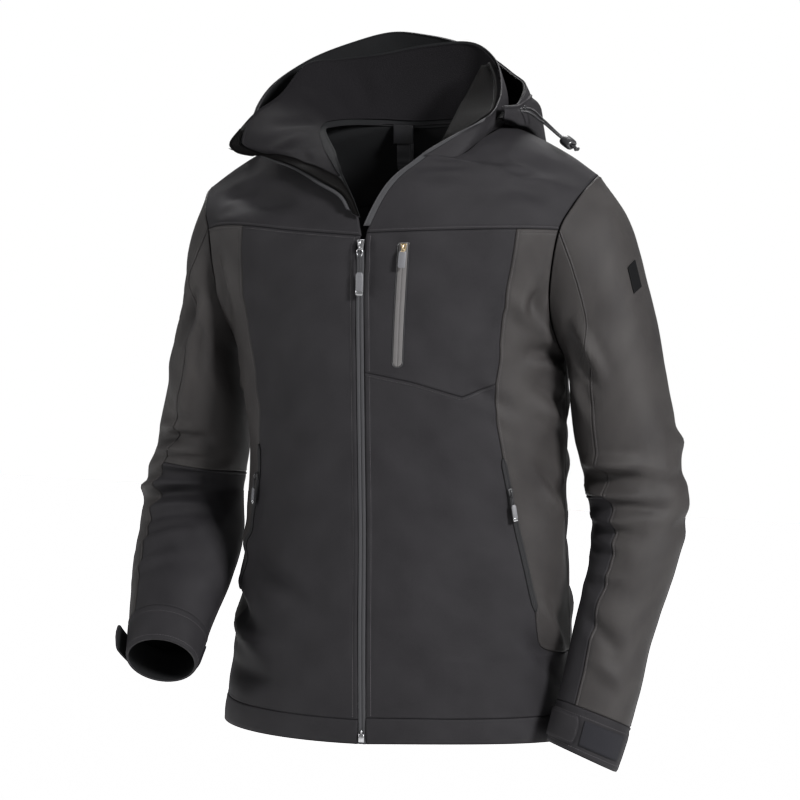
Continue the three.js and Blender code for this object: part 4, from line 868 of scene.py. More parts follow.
def stitch_points(p, n, edge, distance):
    """The line that runs a set distance inside one edge of a fine grid."""
    if edge in "lr":
        p, n = p.swapaxes(0, 1), n.swapaxes(0, 1)
    if edge in "br":
        p, n = p[::-1], n[::-1]
    run = run_lengths(p, 0)
    line, out = [], []
    for j in range(p.shape[1]):
        i = min(max(int(np.searchsorted(run[:, j], distance)), 1), len(p) - 1)
        t = np.clip((distance - run[i - 1, j]) / max(run[i, j] - run[i - 1, j], 1e-6), 0, 1)
        line.append(mix(p[i - 1, j], p[i, j], t))
        out.append(n[i, j])
    return np.array(line), np.array(out)


def read_line(run, line, at):
    """The points, or normals, of a line at given lengths along it."""
    return np.stack([np.interp(at, run, line[:, k]) for k in range(3)], -1)


def sew(line, out, lift=0.12):
    """Lays single stitches along a line, each a low bead of thread with a gap after it."""
    run = length_along(line)
    if run[-1] < 3 * STITCH_PITCH:
        return
    starts = np.arange(STITCH_PITCH, run[-1] - STITCH_PITCH, STITCH_PITCH)
    ends = starts + STITCH_SHARE * STITCH_PITCH
    normals = unit(read_line(run, out, starts))
    all_stitches.append((read_line(run, line, starts), read_line(run, line, ends), normals, lift))


print("a stitch is", round(STITCH_SHARE * STITCH_PITCH, 1), "mm long")


def cloth(name, grid, read, edges="ssss", thickness=CLOTH, materials=None, lift=0.0,
          puff=None, inset=SEAM):
    """One cloth piece on its form. Its edges are top, bottom, left and right: s is sewn and stitched,
    z is stitched beside the zip, p is plain sewn and f is free."""
    grid = np.array(grid, float)
    coarse, _ = read(grid[..., 0], grid[..., 1])
    down = np.linalg.norm(np.diff(coarse, axis=0), axis=2).mean(1)
    side = np.linalg.norm(np.diff(coarse, axis=1), axis=2).mean(0)
    rows = positions(list(down), edges[0] != "f", edges[1] != "f")
    cols = positions(list(side), edges[2] != "f", edges[3] != "f")
    fine = read_grid(grid, rows, cols)
    p, n = read(fine[..., 0], fine[..., 1])
    run_down, run_side = run_lengths(p, 0), run_lengths(p, 1)
    distances = (run_down, run_down[-1:] - run_down, run_side, run_side[:, -1:] - run_side)
    height = np.zeros(p.shape[:2])
    for mark, distance in zip(edges, distances):
        if mark != "f":
            shape = seam_relief(distance, STITCHED.get(mark))
            height = np.where(np.abs(shape) > np.abs(height), shape, height)
    if puff is not None:
        height = height + puff(rows / rows[-1], cols / cols[-1])
    p = p + n * height[..., None]
    for mark, edge in zip(edges, "tblr"):
        if mark in STITCHED:
            line, out = stitch_points(p + n * lift, n, edge, STITCHED[mark])
            sew(line, out)
    made = wall(name + "_cloth", p, n, thickness, materials or BLACK_FACES, lift, inset)
    dress(made, name)


print("a cloth piece is", CLOTH, "mm thick unless it says otherwise")


# %% [markdown]
# Seams down the body. The grey side panels run from the yoke to a rounded foot above the hem, in front
# and behind, and the fronts and the back lie between them.
# %% Seam lines of the body
SIDE_SEAM_LEFT = [(-88, 172), (-150, 163), (-205, 154), (-258, 147.5), (-290, 147), (-347, 155), (-440, 170),
                  (-532, 187), (-556, 190)]
SIDE_SEAM_RIGHT = [(-95, 156), (-140, 163), (-205, 156), (-285, 144), (-351, 145), (-430, 160), (-532, 180),
                   (-556, 183)]
BACK_SEAM = [(-188, 199), (-215, 186), (-260, 170), (-330, 155), (-440, 152), (-540, 160), (-556, 162)]
PANEL_FOOT = [(-556, 0), (-563, 0.026), (-570, 0.06), (-576, 0.12), (-580, 0.2), (-583.5, 0.33), (-586, 0.48),
              (-588, 0.74), (-589, 1)]
CHEST_SEAM = [(0, -246), (0.35, -256), (0.72, -273), (1, -259)]
BODY_LEVELS = [-532, -480, -430, -390, -347, -300, -259, -215, -172, -128, -103]


# The height just above the hem seam at the side.
ABOVE_HEM = -625
FRONT_COLUMNS = np.array([0, 0.07, 0.15, 0.24, 0.33, 0.42, 0.51, 0.6, 0.66, 0.72, 0.78, 0.87, 0.94, 1])


def front_stations(form, seam, top):
    """The rows of a front from hem to yoke, where each meets its seam, and what it belongs to."""
    hem_top = float(row_at(form, 0.5, form.smooth(0.5, 0)[2] + HEM_BAND, 0, 2))
    v = [hem_top, float(row_at(form, 0.97, ABOVE_HEM, 0, 2))]
    u = [1.0, 1.0]
    kinds = ["hem", "hem"]
    for z, share in reversed(PANEL_FOOT):
        at = float(row_at(form, 0.9, z, 0, 2))
        v.append(at)
        u.append(mix(float(across(form, at, along(seam, z))), 1, share))
        kinds.append("foot")
    for z in BODY_LEVELS:
        at = float(row_at(form, 0.8, z, 1, 7))
        v.append(at)
        u.append(float(across(form, at, along(seam, z))))
        kinds.append("level")
    v.append(float(YOKE_ROW))
    u.append(float(across(form, YOKE_ROW, along(seam, top))))
    kinds.append("level")
    return np.array(v), np.array(u), kinds, hem_top


LEFT_STATIONS = front_stations(LEFT, SIDE_SEAM_LEFT, SIDE_SEAM_LEFT[0][0])
RIGHT_STATIONS = front_stations(RIGHT, SIDE_SEAM_RIGHT, SIDE_SEAM_RIGHT[0][0])


def edge_u(form, v):
    """Where the front edge runs: beside the zip, and at the centre of the form above the yoke seam."""
    return np.where(v > YOKE_ROW - 0.1, 0.002, across(form, v, EDGE_HALF))


def pairs(u, v):
    u, v = np.broadcast_arrays(u, v)
    return np.stack([u, v], -1)


def read_left(u, v):
    return body(LEFT, u, v)


def read_right(u, v):
    return body(RIGHT, u, v)


print("hem band tops", round(LEFT_STATIONS[3], 3), round(RIGHT_STATIONS[3], 3))

# %% [markdown]
# The wearer's right front is one piece from hem to yoke. The left one is cut in two by a slanted chest
# seam, so its rows lean with that seam near it. The chest piece is only stitched beside the zip.
# %% Fronts
v, u, _, _ = RIGHT_STATIONS
start = edge_u(RIGHT, v)
grid = pairs(mix(start[:, None], u[:, None], FRONT_COLUMNS), v[:, None])
cloth("front_right", grid, read_right, "pszp")

v, u, _, _ = LEFT_STATIONS
seam_v = row_at(LEFT, 0.1 + 0.7 * FRONT_COLUMNS, along(CHEST_SEAM, FRONT_COLUMNS), 1, 7)
seam_z = LEFT.smooth(0.8, seam_v)[..., 2]
seam_z[-1] = CHEST_SEAM[-1][1]
seam_u = mix(across(LEFT, seam_v, EDGE_HALF), across(LEFT, seam_v, along(SIDE_SEAM_LEFT, seam_z)),
             FRONT_COLUMNS)
seam_end = seam_v[-1]


def leaning(rows_v, rows_u, reach):
    """Rows near the slanted seam lean with it."""
    near = np.clip(1 - np.abs(rows_v - seam_end) / reach, 0, 1)
    lean = (seam_v - seam_end)[None, :] * near[:, None]
    start = edge_u(LEFT, rows_v)
    return pairs(mix(start[:, None], rows_u[:, None], FRONT_COLUMNS), rows_v[:, None] + lean)


low = v < seam_end - 0.05
high = v > seam_end + 0.05
seam_row = pairs(seam_u, seam_v)[None]
cloth("front_left_lower", np.concatenate([leaning(v[low], u[low], 1.2), seam_row]), read_left, "pszp")
cloth("front_left_chest", np.concatenate([seam_row, leaning(v[high], u[high], 1.6)]), read_left, "ppzp")
print("fronts built")


# %% [markdown]
# The grey side panels show from the front as a band that narrows at the waist. Their rounded foot comes
# from one curved row, and the rows above it are straight.
# %% Side panels
def side_panel(stations):
    v, u, kinds, _ = stations
    foot = [i for i, kind in enumerate(kinds) if kind == "foot"][::-1]
    level = [i for i, kind in enumerate(kinds) if kind == "level" and v[i] > v[foot[0]]]
    shares = (u[foot] - u[foot[0]]) / (1 - u[foot[0]])
    foot_row = pairs(mix(u[foot[0]], 1, shares), v[foot])[None]
    above = pairs(mix(u[level][:, None], 1, shares), v[level][:, None])
    return np.concatenate([foot_row, above])


for side, stations, read in (("left", LEFT_STATIONS, read_left), ("right", RIGHT_STATIONS, read_right)):
    cloth("side_panel_" + side, side_panel(stations), read, "pssp", materials=GREY_FACES)
print("side panels built")

# %% [markdown]
# The back is one wide panel between two grey ones. Its rows are those of both halves of the body, and
# the halves blend over a narrow strip at the centre line, so that no ridge shows there.
# %% Back and back side panels
BACK_LEVELS = [-192, -215, -240, -290, -347, -390, -430, -480, -532, -556]
RIGHT_NARROWER = 6


def back_stations(form, hem_top, narrower):
    """The rows of the back from yoke to hem, where each meets its seam, and what it belongs to."""
    v = [BACK_YOKE_ROW, 18, 18.6]
    u = [1.0, 1.0, 1.0]
    kinds = ["top"] * 3
    for z in BACK_LEVELS:
        at = float(row_at(form, 0.85, z, 18.4, 23.6))
        v.append(at)
        beside = float(across(form, at, along(BACK_SEAM, z) - narrower))
        u.append(0.993 if z == BACK_LEVELS[0] else beside)
        kinds.append("level")
    last = u[-1]
    for z, share in PANEL_FOOT[1:]:
        v.append(float(row_at(form, 0.9, z, 22, 23.8)))
        u.append(mix(last, 1, share))
        kinds.append("foot")
    v += [float(row_at(form, 0.97, ABOVE_HEM, 22, 23.9)), LAST_ROW - hem_top]
    return np.array(v), np.array(u + [1.0, 1.0]), kinds + ["hem", "hem"]


back_left = back_stations(LEFT, LEFT_STATIONS[3], 0)
back_right = back_stations(RIGHT, RIGHT_STATIONS[3], RIGHT_NARROWER)
HALF = np.array([0, 0.14, 0.28, 0.42, 0.56, 0.7, 0.84, 1])


def read_both(side_u, v):
    """Reads the whole back: a negative position is on the wearer's right."""
    left_p, left_n = body(LEFT, np.abs(side_u), v)
    right_p, right_n = body(RIGHT, np.abs(side_u), v)
    share = np.clip(0.5 + side_u / 0.12, 0, 1)[..., None]
    share = share * share * (3 - 2 * share)
    return mix(right_p, left_p, share), unit(mix(right_n, left_n, share))


full = np.concatenate([-HALF[:0:-1], HALF])
wide = np.where(full < 0, back_right[1][:, None], back_left[1][:, None]) * full
deep = np.where(full < 0, back_right[0][:, None], back_left[0][:, None])
cloth("back_panel", pairs(wide, deep), read_both, "pspp")


def back_side(stations):
    v, u, kinds = stations
    level = [i for i, kind in enumerate(kinds) if kind == "level"]
    foot = [i for i, kind in enumerate(kinds) if kind == "foot"]
    start = level[-1]
    shares = np.concatenate([[0], (u[foot] - u[start]) / (1 - u[start])])
    above = pairs(mix(u[level[:-1]][:, None], 1, shares), v[level[:-1]][:, None])
    foot_row = pairs(mix(u[start], 1, shares), v[[start] + foot])[None]
    return np.concatenate([above, foot_row])


for side, stations, read in (("left", back_left, read_left), ("right", back_right, read_right)):
    cloth("side_back_" + side, back_side(stations), read, "ppsp", materials=GREY_FACES)
print("back built")

# %% [markdown]
# The yokes cover the shoulders. Their lower seam is turned under and topstitched. The back yoke is one
# piece cut round the neckline.
# %% Yokes
YOKE_END = 13
YOKE_ROWS = np.linspace(YOKE_ROW, YOKE_END, 13)
YOKE_COLUMNS = np.array([0, 0.14, 0.28, 0.42, 0.56, 0.7, 0.85, 1])
for side, read in (("left", read_left), ("right", read_right)):
    cloth("yoke_" + side, pairs(YOKE_COLUMNS, YOKE_ROWS[:, None]), read, "sppp")
# The top edge of the back yoke runs along the neckline for this share, then along the shoulder.
NECK_SHARE = 0.36
top_shares = np.concatenate([[0, 0.12, 0.24], mix(NECK_SHARE, 1, YOKE_COLUMNS)])
on_neck = top_shares <= NECK_SHARE
top_u = np.where(on_neck, 0, (top_shares - NECK_SHARE) / (1 - NECK_SHARE))
top_v = np.where(on_neck, mix(NECK_BACK_ROW, YOKE_END, top_shares / NECK_SHARE), YOKE_END)


def read_back_yoke(share, t):
    """Reads the back yoke from its top edge, at 0, to its lower seam, at 1."""
    size = np.abs(share)
    u = mix(np.interp(size, top_shares, top_u), size, t)
    v = mix(np.interp(size, top_shares, top_v), BACK_YOKE_ROW, t)
    left_p, left_n = body(LEFT, u, v)
    right_p, right_n = body(RIGHT, u, v)
    pick = np.where(share < 0, 0.0, 1.0)
    pick = np.where(share == 0, 0.5, pick)[..., None]
    return mix(right_p, left_p, pick), unit(mix(right_n, left_n, pick))


yoke_full = np.concatenate([-top_shares[:0:-1], top_shares])
yoke_down = np.array([0, 0.16, 0.33, 0.5, 0.67, 0.84, 1])
cloth("back_yoke", pairs(yoke_full, yoke_down[:, None]), read_back_yoke, "pspp")
print("yokes built")

# %% [markdown]
# The hem is a wide band folded over an elastic cord, a little proud of the panels above it.
# %% Hem bands
HEM_COLUMNS = np.array([0, 0.12, 0.25, 0.38, 0.5, 0.62, 0.74, 0.86, 1])
HEM_SHARES = np.array([0, 0.34, 0.68, 1])


def hem_puff(rows, cols):
    return (0.4 + 1.3 * np.sin(np.pi * np.clip(rows, 0.08, 0.92)))[:, None] * np.ones(len(cols))


for name, form, read, stations in (("hem_front_left", LEFT, read_left, LEFT_STATIONS),
                                   ("hem_front_right", RIGHT, read_right, RIGHT_STATIONS)):
    hem_v = HEM_SHARES * stations[3]
    start_u = float(across(form, 0, EDGE_HALF))
    cloth(name, pairs(mix(start_u, 1, HEM_COLUMNS), hem_v[:, None]), read, "fppp",
          thickness=FOLDED_CLOTH, puff=hem_puff)
hem_full = np.concatenate([-HEM_COLUMNS[:0:-1], HEM_COLUMNS])
hem_deep = np.where(hem_full < 0, RIGHT_STATIONS[3], LEFT_STATIONS[3])
cloth("hem_back", pairs(hem_full, LAST_ROW - hem_deep * HEM_SHARES[:, None]), read_both, "fppp",
      thickness=FOLDED_CLOTH, puff=hem_puff)
print("hem built")

# %% [markdown]
# A sleeve is a loft of rings. Ring 0 is the armhole itself, and each other ring is an oval between an
# outer and an inner point, so many millimetres deep to the front and back, tipped forward by a pitch.
# %% Sleeve rings
# outer x y z, inner x y z, depth, pitch in degrees
RINGS_LEFT = [
    (270, 6, -68, 208, 2, -242, 74, 0),
    (299, 8, -152, 212, 3, -268, 72, 0),
    (315, 10, -220, 213, 5, -300, 69, 0),
    (329, 13, -290, 217, 8, -336, 65, 0),
    (343, 15, -350, 227, 10, -376, 61, 2),
    (351, 14, -408, 235, 8, -424, 57, 8),
    (340, -2, -480, 240, -8, -478, 54, 14),
    (319, -26, -561, 228, -28, -547, 50, 18),
    (305, -48, -640, 217, -48, -616, 46, 20),
    (288, -68, -713, 205, -66, -683, 42.5, 20),
]
RINGS_RIGHT = [
    (-252, 5, -100, -204, 0, -250, 74, 0),
    (-263, 10, -168, -203, 3, -276, 72, 0),
    (-280, 16, -228, -200, 9, -306, 69, 0),
    (-298, 26, -296, -202, 17, -342, 65, 2),
    (-317, 36, -360, -207, 27, -382, 61, 6),
    (-337, 38, -425, -215, 32, -424, 58, 16),
    (-336, 18, -474, -206, 12, -464, 55, 34),
    (-325, -38, -521, -201, -44, -510, 52, 50),
    (-304, -100, -565, -202, -106, -553, 47, 52),
    (-285, -155, -610, -203, -158, -590, 41, 52),
]
RING_CONTROLS = 24


ARMHOLE_POINTS = 81


def armhole_rows(form):
    """Row positions that step equally round the armhole, over the front half and the back half."""
    halves = []
    for low, high in ((SHOULDER_ROW, ARMPIT_ROW), (BACK_ARMPIT_ROW, SHOULDER_ROW)):
        v = np.linspace(low, high, ARMHOLE_POINTS)
        run = length_along(form.smooth(np.ones(ARMHOLE_POINTS), v))
        halves.append((run / run[-1], v))
    return halves


class Sleeve:
    """A sleeve, read by an angle round it and by its rings from armhole to cuff."""

    def __init__(self, form, rings, folds):
        halves = armhole_rows(form)
        turn = np.arange(RING_CONTROLS) / RING_CONTROLS * 2
        v = np.where(turn <= 1, np.interp(turn, *halves[0]), np.interp(turn - 1, *halves[1]))
        rows = [form.smooth(np.ones(RING_CONTROLS), v) + (form.side * 0.9, 0, 0)]
        angle = np.arange(RING_CONTROLS) / RING_CONTROLS * 2 * np.pi
        for ox, oy, oz, ix, iy, iz, deep, pitch in rings:
            outer, inner = np.array([ox, oy, oz], float), np.array([ix, iy, iz], float)
            middle, reach = (outer + inner) / 2, (outer - inner) / 2
            slope = math.radians(pitch)
            front = np.array([0, -math.cos(slope), math.sin(slope)])
            front = unit(front - reach * (front @ reach) / (reach @ reach))
            rows.append(middle + np.cos(angle)[:, None] * reach + deep * np.sin(angle)[:, None] * front)
        self.loft = Loft(rows)
        self.last = len(rows) - 1
        self.side = form.side
        self.folds = folds
        self.lines = []

    def smooth(self, angle, w):
        def read(a, b):
            rings = self.loft.at(b)
            x = (a / 360 * RING_CONTROLS) % RING_CONTROLS
            i = np.floor(x).astype(int)
            t = (x - i)[:, None]
            spot = np.arange(len(a))
            before, here, after, beyond = (rings[spot, (i + k) % RING_CONTROLS] for k in (-1, 0, 1, 2))
            return (before * (-t**3 + 2 * t**2 - t) + here * (3 * t**3 - 5 * t**2 + 2)
                    + after * (-3 * t**3 + 4 * t**2 + t) + beyond * (t**3 - t**2)) / 2
        return both(read, angle, w)


print("a sleeve has", len(RINGS_LEFT), "rings below its armhole")

# %% [markdown]
# Sleeves have large folds too, across the elbow and down from the shoulder. Angles are in degrees round
# the sleeve: 0 is its outer side and 90 its front.
# %% Folds of the sleeves
# angle and ring of both ends, width and height in mm


SLEEVE_FOLDS_LEFT = [
    (150, 5.0, 60, 5.6, 13, -5),
    (165, 5.5, 70, 6.2, 12, 5),
    (175, 6.2, 80, 6.5, 12, -5),
    (140, 4.2, 70, 5.1, 14, 4),
    (20, 5.2, -50, 5.5, 15, -4),
    (110, 1.0, 60, 2.3, 18, -5),
    (165, 7.4, 60, 7.9, 12, 4),
]
SLEEVE_FOLDS_RIGHT = [
    (110, 4.6, 20, 5.3, 14, -5),
    (150, 5.4, 60, 5.9, 12, 5),
    (160, 6.2, 40, 6.5, 12, -5),
    (100, 1.0, 55, 2.4, 18, -5),
    (150, 7.3, 50, 7.8, 12, 4),
    (20, 3.2, 90, 4.1, 16, 3.5),
]
# About how far one ring is from the next, in mm.
RING_STEP = 66


def sleeve(form, angle, w):
    """Points and outward normals of a creased sleeve at arrays of positions."""
    angle, w = np.broadcast_arrays(np.asarray(angle, float), np.asarray(w, float))
    wn = np.clip(w, 0.01, form.last - 0.01)
    du = form.smooth(angle + 0.6, wn) - form.smooth(angle - 0.6, wn)
    dv = form.smooth(angle, wn + 0.01) - form.smooth(angle, wn - 0.01)
    n = unit(np.cross(du, dv)) * form.side
    total = np.zeros(angle.shape)
    for a0, w0, a1, w1, width, height in form.folds:
        x = (angle - a0 + 180) % 360 - 180
        y = (w - w0) * RING_STEP
        dx, dy = a1 - a0, (w1 - w0) * RING_STEP
        t = np.clip((x * dx + y * dy) / (dx * dx + dy * dy), 0, 1)
        away = np.hypot(x - t * dx, y - t * dy) / width
        total += height * np.exp(-away * away) * swell(t)
    fade = np.clip(w / 0.6, 0, 1) * np.clip((form.last - w) / 0.5, 0, 1)
    return creased(form.smooth(angle, w), n, form.lines, fade, total), n


# Sleeve creases: angle and ring of each end, width and height in mm.
SLEEVE_CREASES_LEFT = [
    (125, 0.9, 100, 2.9, 9.1, -7.5),
    (112, 1.2, 88, 3.1, 7.8, 6),
    (140, 1.8, 120, 3.6, 9.1, 6),
    (150, 4.55, 62, 4.95, 7.8, 6),
    (160, 4.95, 50, 5.35, 7.8, -7.5),
    (168, 5.25, 70, 5.75, 6.5, 6.8),
    (165, 5.75, 40, 6.05, 7.8, -7.5),
    (160, 6.05, 70, 6.35, 6.5, 6),
    (170, 6.65, 95, 6.9, 7.8, -6),
    (160, 7.15, 80, 7.3, 7.8, 4.5),
    (60, 5.55, -10, 5.3, 10.4, -4.5),
    (30, 4.6, -60, 4.9, 11.7, 4.5),
    (40, 6.4, -30, 6.2, 11.7, -3.9),
    (130, 7.9, 60, 8.35, 9.1, -5.1),
    (110, 8.5, 40, 8.8, 9.1, 3.9),
    (-40, 5.1, -120, 5.4, 10.4, -6),
    (-50, 5.8, -130, 5.9, 10.4, 6),
    (-60, 6.4, -140, 6.2, 10.4, -6),
    (-70, 1.4, -110, 3.2, 11.7, -5.2),
    (200, 5.0, 250, 5.4, 9.1, -6),
    (195, 5.7, 250, 6.1, 9.1, 6),
    (-20, 7.6, -110, 7.9, 11.7, -4.5),
]
SLEEVE_CREASES_RIGHT = [
    (85, 0.8, 60, 3.0, 10.4, -7.5),
    (72, 1.0, 46, 3.4, 10.4, 6),
    (108, 1.2, 92, 3.4, 9.1, -6.8),
    (96, 2.2, 80, 4.4, 9.1, 5.2),
    (120, 4.4, 46, 4.75, 7.8, 4.5),
    (120, 4.7, 30, 5.05, 7.8, -5.2),
    (125, 5.05, 35, 5.3, 6.5, 4.5),
    (130, 5.75, 20, 5.95, 7.8, -6),
    (130, 6.05, 10, 6.25, 7.8, 6),
    (130, 6.45, 20, 6.6, 7.8, -6),
    (130, 6.95, 30, 7.1, 7.8, 5.1),
    (125, 7.45, 30, 7.75, 7.8, -4.5),
    (110, 8.2, 30, 8.5, 9.1, 3.6),
    (-20, 5.0, -100, 5.3, 11.7, -6),
    (-20, 5.7, -110, 5.8, 11.7, 6),
    (-30, 6.3, -120, 6.5, 11.7, -5.2),
    (-60, 1.4, -100, 3.2, 11.7, -5.2),
    (210, 5.2, 260, 5.5, 10.4, -6),
    (-20, 7.6, -100, 7.8, 11.7, -4.5),
]
SLEEVE_LEFT = Sleeve(LEFT, RINGS_LEFT, SLEEVE_FOLDS_LEFT)
SLEEVE_RIGHT = Sleeve(RIGHT, RINGS_RIGHT, SLEEVE_FOLDS_RIGHT)
SLEEVE_LEFT.lines = crease_lines(SLEEVE_LEFT.smooth, SLEEVE_CREASES_LEFT)
SLEEVE_RIGHT.lines = crease_lines(SLEEVE_RIGHT.smooth, SLEEVE_CREASES_RIGHT)
print("sleeve creases", len(SLEEVE_CREASES_LEFT) + len(SLEEVE_CREASES_RIGHT))

# %% [markdown]
# Each sleeve has a grey outer panel the whole way down, a grey inner panel above the elbow seam and a
# black one below it, and a plain cuff.
# %% Sleeves and cuffs
FRONT_SEAM_LEFT = [(0, 66), (0.5, 80), (1, 92), (2, 104), (3, 109), (4, 114), (5, 120), (6, 112),
                   (7, 112), (8, 112), (9, 112), (10, 112)]
FRONT_SEAM_RIGHT = [(0, 60), (0.5, 66), (1, 70), (2, 76), (3, 80), (4, 78), (5, 74), (6, 66), (7, 58),
                    (8, 54), (9, 52), (10, 52)]
BACK_SEAM_ANGLE = 248
ELBOW_RING = 5.55
CUFF_RING = 9.3
SLEEVE_ROWS = np.array([0, 0.3, 0.7, 1.2, 1.8, 2.4, 3, 3.6, 4.2, 4.7, 5.1, ELBOW_RING, 6, 6.5, 7, 7.6, 8.2,
                        8.8, CUFF_RING])
CUFF_ROWS = np.array([9.3, 9.32, 9.36, 9.42, 9.5, 9.6, 9.7, 9.78, 9.85, 9.92, 9.96, 10])
CUFF_BULGE = [(9.3, 0.3), (9.5, 1.2), (9.75, 1.2), (10, 0.6)]
CUFF_STITCH_ROWS = (3, 9)
for side, form, seam in (("left", SLEEVE_LEFT, FRONT_SEAM_LEFT), ("right", SLEEVE_RIGHT, FRONT_SEAM_RIGHT)):
    def read(angle, w):
        return sleeve(form, angle, w)

    front = along(seam, SLEEVE_ROWS)[:, None]
    outer = mix(BACK_SEAM_ANGLE - 360, front, np.linspace(0, 1, 15))
    cloth("sleeve_outer_" + side, pairs(outer, SLEEVE_ROWS[:, None]), read, "ppps", materials=GREY_FACES)
    inner = mix(front, BACK_SEAM_ANGLE, np.linspace(0, 1, 11))
    upper = SLEEVE_ROWS <= ELBOW_RING
    lower = SLEEVE_ROWS >= ELBOW_RING
    cloth("sleeve_inner_" + side, pairs(inner[upper], SLEEVE_ROWS[upper][:, None]), read, "pppp",
          materials=GREY_FACES)
    cloth("forearm_inner_" + side, pairs(inner[lower], SLEEVE_ROWS[lower][:, None]), read, "sppp")
    p, n = sleeve(form, np.arange(0, 360, 4.0), CUFF_ROWS[:, None])
    lift = along(CUFF_BULGE, CUFF_ROWS) + seam_relief((CUFF_ROWS - CUFF_RING) * RING_STEP, STITCH_IN)
    lift = lift - 0.8 * hill((10 - CUFF_ROWS) * RING_STEP, 1.2)
    p = p + n * lift[:, None, None]
    cuff = wall("cuff_" + side + "_cloth", p, n, FOLDED_CLOTH, BLACK_FACES, ring=True)
    dress(cuff, "cuff_" + side)
    for row in CUFF_STITCH_ROWS:
        sew(np.concatenate([p[row], p[row][:1]]), np.concatenate([n[row], n[row][:1]]))
print("sleeves built", len(all_stitches), "rows of stitches")

# %% [markdown]
# The collar stands round the neck and folds open on the wearer's right, where its zip edge curls over.
# Softshell is outside, brushed fleece inside, and a band of smoother cloth faces the zip edge.
# %% Collar, fleece and facings
# base x y z, top x y z, belly
COLLAR = [
    (71, -109, 4.2, 134, -73, 45, 0),
    (100.5, -96.6, 2.2, 134, -55, 50, 2),
    (117, -62, 15.5, 131, -34, 54, 4),
    (123, -24, 26.4, 126, 0, 69, 6),
    (125.5, 10, 30, 116, 30, 86, 8),
    (103, 48, 30, 103, 56, 102, 8),
    (59, 73, 29, 70, 82, 120, 6),
    (0, 81, 24.4, 0, 99, 116, 5),
    (-49, 78, 25.4, -55, 99, 105, 5),
    (-86, 62, 25, -107, 93, 98, 5),
    (-101, 40, 23.2, -140, 80, 93, 5),
    (-100, 12, 19, -163, 42, 56, 5),
    (-90, -18, 12.5, -183, 4, 34, 6),
    (-79, -39, 4.5, -192, -18, 17, 6),
    (-70, -55, -2.5, -199, -34, 0, 6),
    (-59, -72, -10.5, -160, -46, -8, 6),
    (-49, -85, -18.5, -131, -63, -14, 5),
    (-42, -93, -25.5, -96, -86, -21, 3),
    (-34.5, -100.5, -31.5, -61, -106, -33, 1),
    (-16, -119.5, -52, -26, -123, -49, 0),
    (-4, -132, -70, -12, -133, -66, 0),
]


def collar_row(row):
    """The four control points of a station, from its table values."""
    base, top, belly = np.array(row[:3], float), np.array(row[3:6], float), row[6]
    middle = (base + top) / 2
    up = top - base
    away = unit(np.array([middle[0], middle[1] - 10, 0]))
    away = unit(away - up * (away @ up) / (up @ up))
    middle = middle + away * belly * 1.33
    swollen = away * belly * 0.3
    return [base, mix(base, middle, 0.67) + swollen, mix(top, middle, 0.67) + swollen, top]


COLLAR_LOFT = Loft([collar_row(row) for row in COLLAR])
COLLAR_LAST = len(COLLAR) - 1
# Normals of the neck's forms are read this far in from their ends.
RIM_MARGIN = 0.02
# Collar creases: station and height of each end, width and height in mm.
COLLAR_CREASES = [
    (9.2, 0.05, 10.6, 0.75, 11, -3),
    (10.8, 0.1, 12.4, 0.7, 12, 3),
    (12.2, 0.2, 14.2, 0.5, 9, -2.4),
    (13.6, 0.15, 16.5, 0.45, 8, 2),
    (6.0, 0.1, 5.2, 0.8, 12, -2.4),
    (8.2, 0.15, 8.6, 0.8, 12, 2.2),
    (2.0, 0.15, 3.4, 0.6, 9, 1.6),
]


def collar_smooth(s, t):
    return both(lambda a, b: curve_point(COLLAR_LOFT.at(a), b), s, t)


collar_lines = crease_lines(collar_smooth, COLLAR_CREASES)


def neck_normals(smooth, last, s, t, outward):
    s = np.clip(s, RIM_MARGIN, last - RIM_MARGIN)
    return normals_of(smooth, s, np.clip(t, RIM_MARGIN, 1 - RIM_MARGIN), outward)


def collar(s, t):
    s, t = np.broadcast_arrays(np.asarray(s, float), np.asarray(t, float))
    n = neck_normals(collar_smooth, COLLAR_LAST, s, t, 1)
    fade = np.clip(np.minimum(t, 1 - t) / 0.2, 0, 1)
    fade = fade * np.clip(s / 0.8, 0, 1) * np.clip((COLLAR_LAST - s) / 2, 0, 1)
    return creased(collar_smooth(s, t), n, collar_lines, fade), n


def stations(first, last, step=0.25):
    """Even places round the neck, as a column."""
    return np.arange(first, last + step / 2, step)[:, None]


HEIGHTS = np.array([0, 0.25, 0.5, 0.75, 1])
# The foot of the collar is tucked under the neckline by a hair, so that the seam is closed.
TUCKED = np.array([-0.08, 0.25, 0.5, 0.75, 1])
cloth("collar_outer", pairs(stations(0, COLLAR_LAST), TUCKED), collar, "ffpf")
BAND_EDGE = [(4, 1), (12.4, 1), (13, 0.93), (14, 0.84), (15, 0.6), (16, 0.38), (17, 0.24), (18, 0.06)]
fleece_s = stations(4, 17.5)
fleece_top = np.minimum(0.985, along(BAND_EDGE, fleece_s))
cloth("collar_inner", pairs(fleece_s, 0.01 + HEIGHTS * (fleece_top - 0.02)), collar, "ffpp", FLEECE,
      [brushed_fleece, brushed_fleece], -CLOTH - LAY)
band_s = stations(13, COLLAR_LAST)
band_low = np.maximum(0.02, along(BAND_EDGE, band_s) + 0.015)
# The band takes the facing's near-black colour, which is painted shade.
cloth("edge_band_right", pairs(band_s, mix(band_low, 0.985, np.array([0, 0.5, 1]))), collar, "ffps",
      FACING_CLOTH, [facing_softshell_painted_shade, facing_softshell_painted_shade], -CLOTH - LAY)
print("collar built")
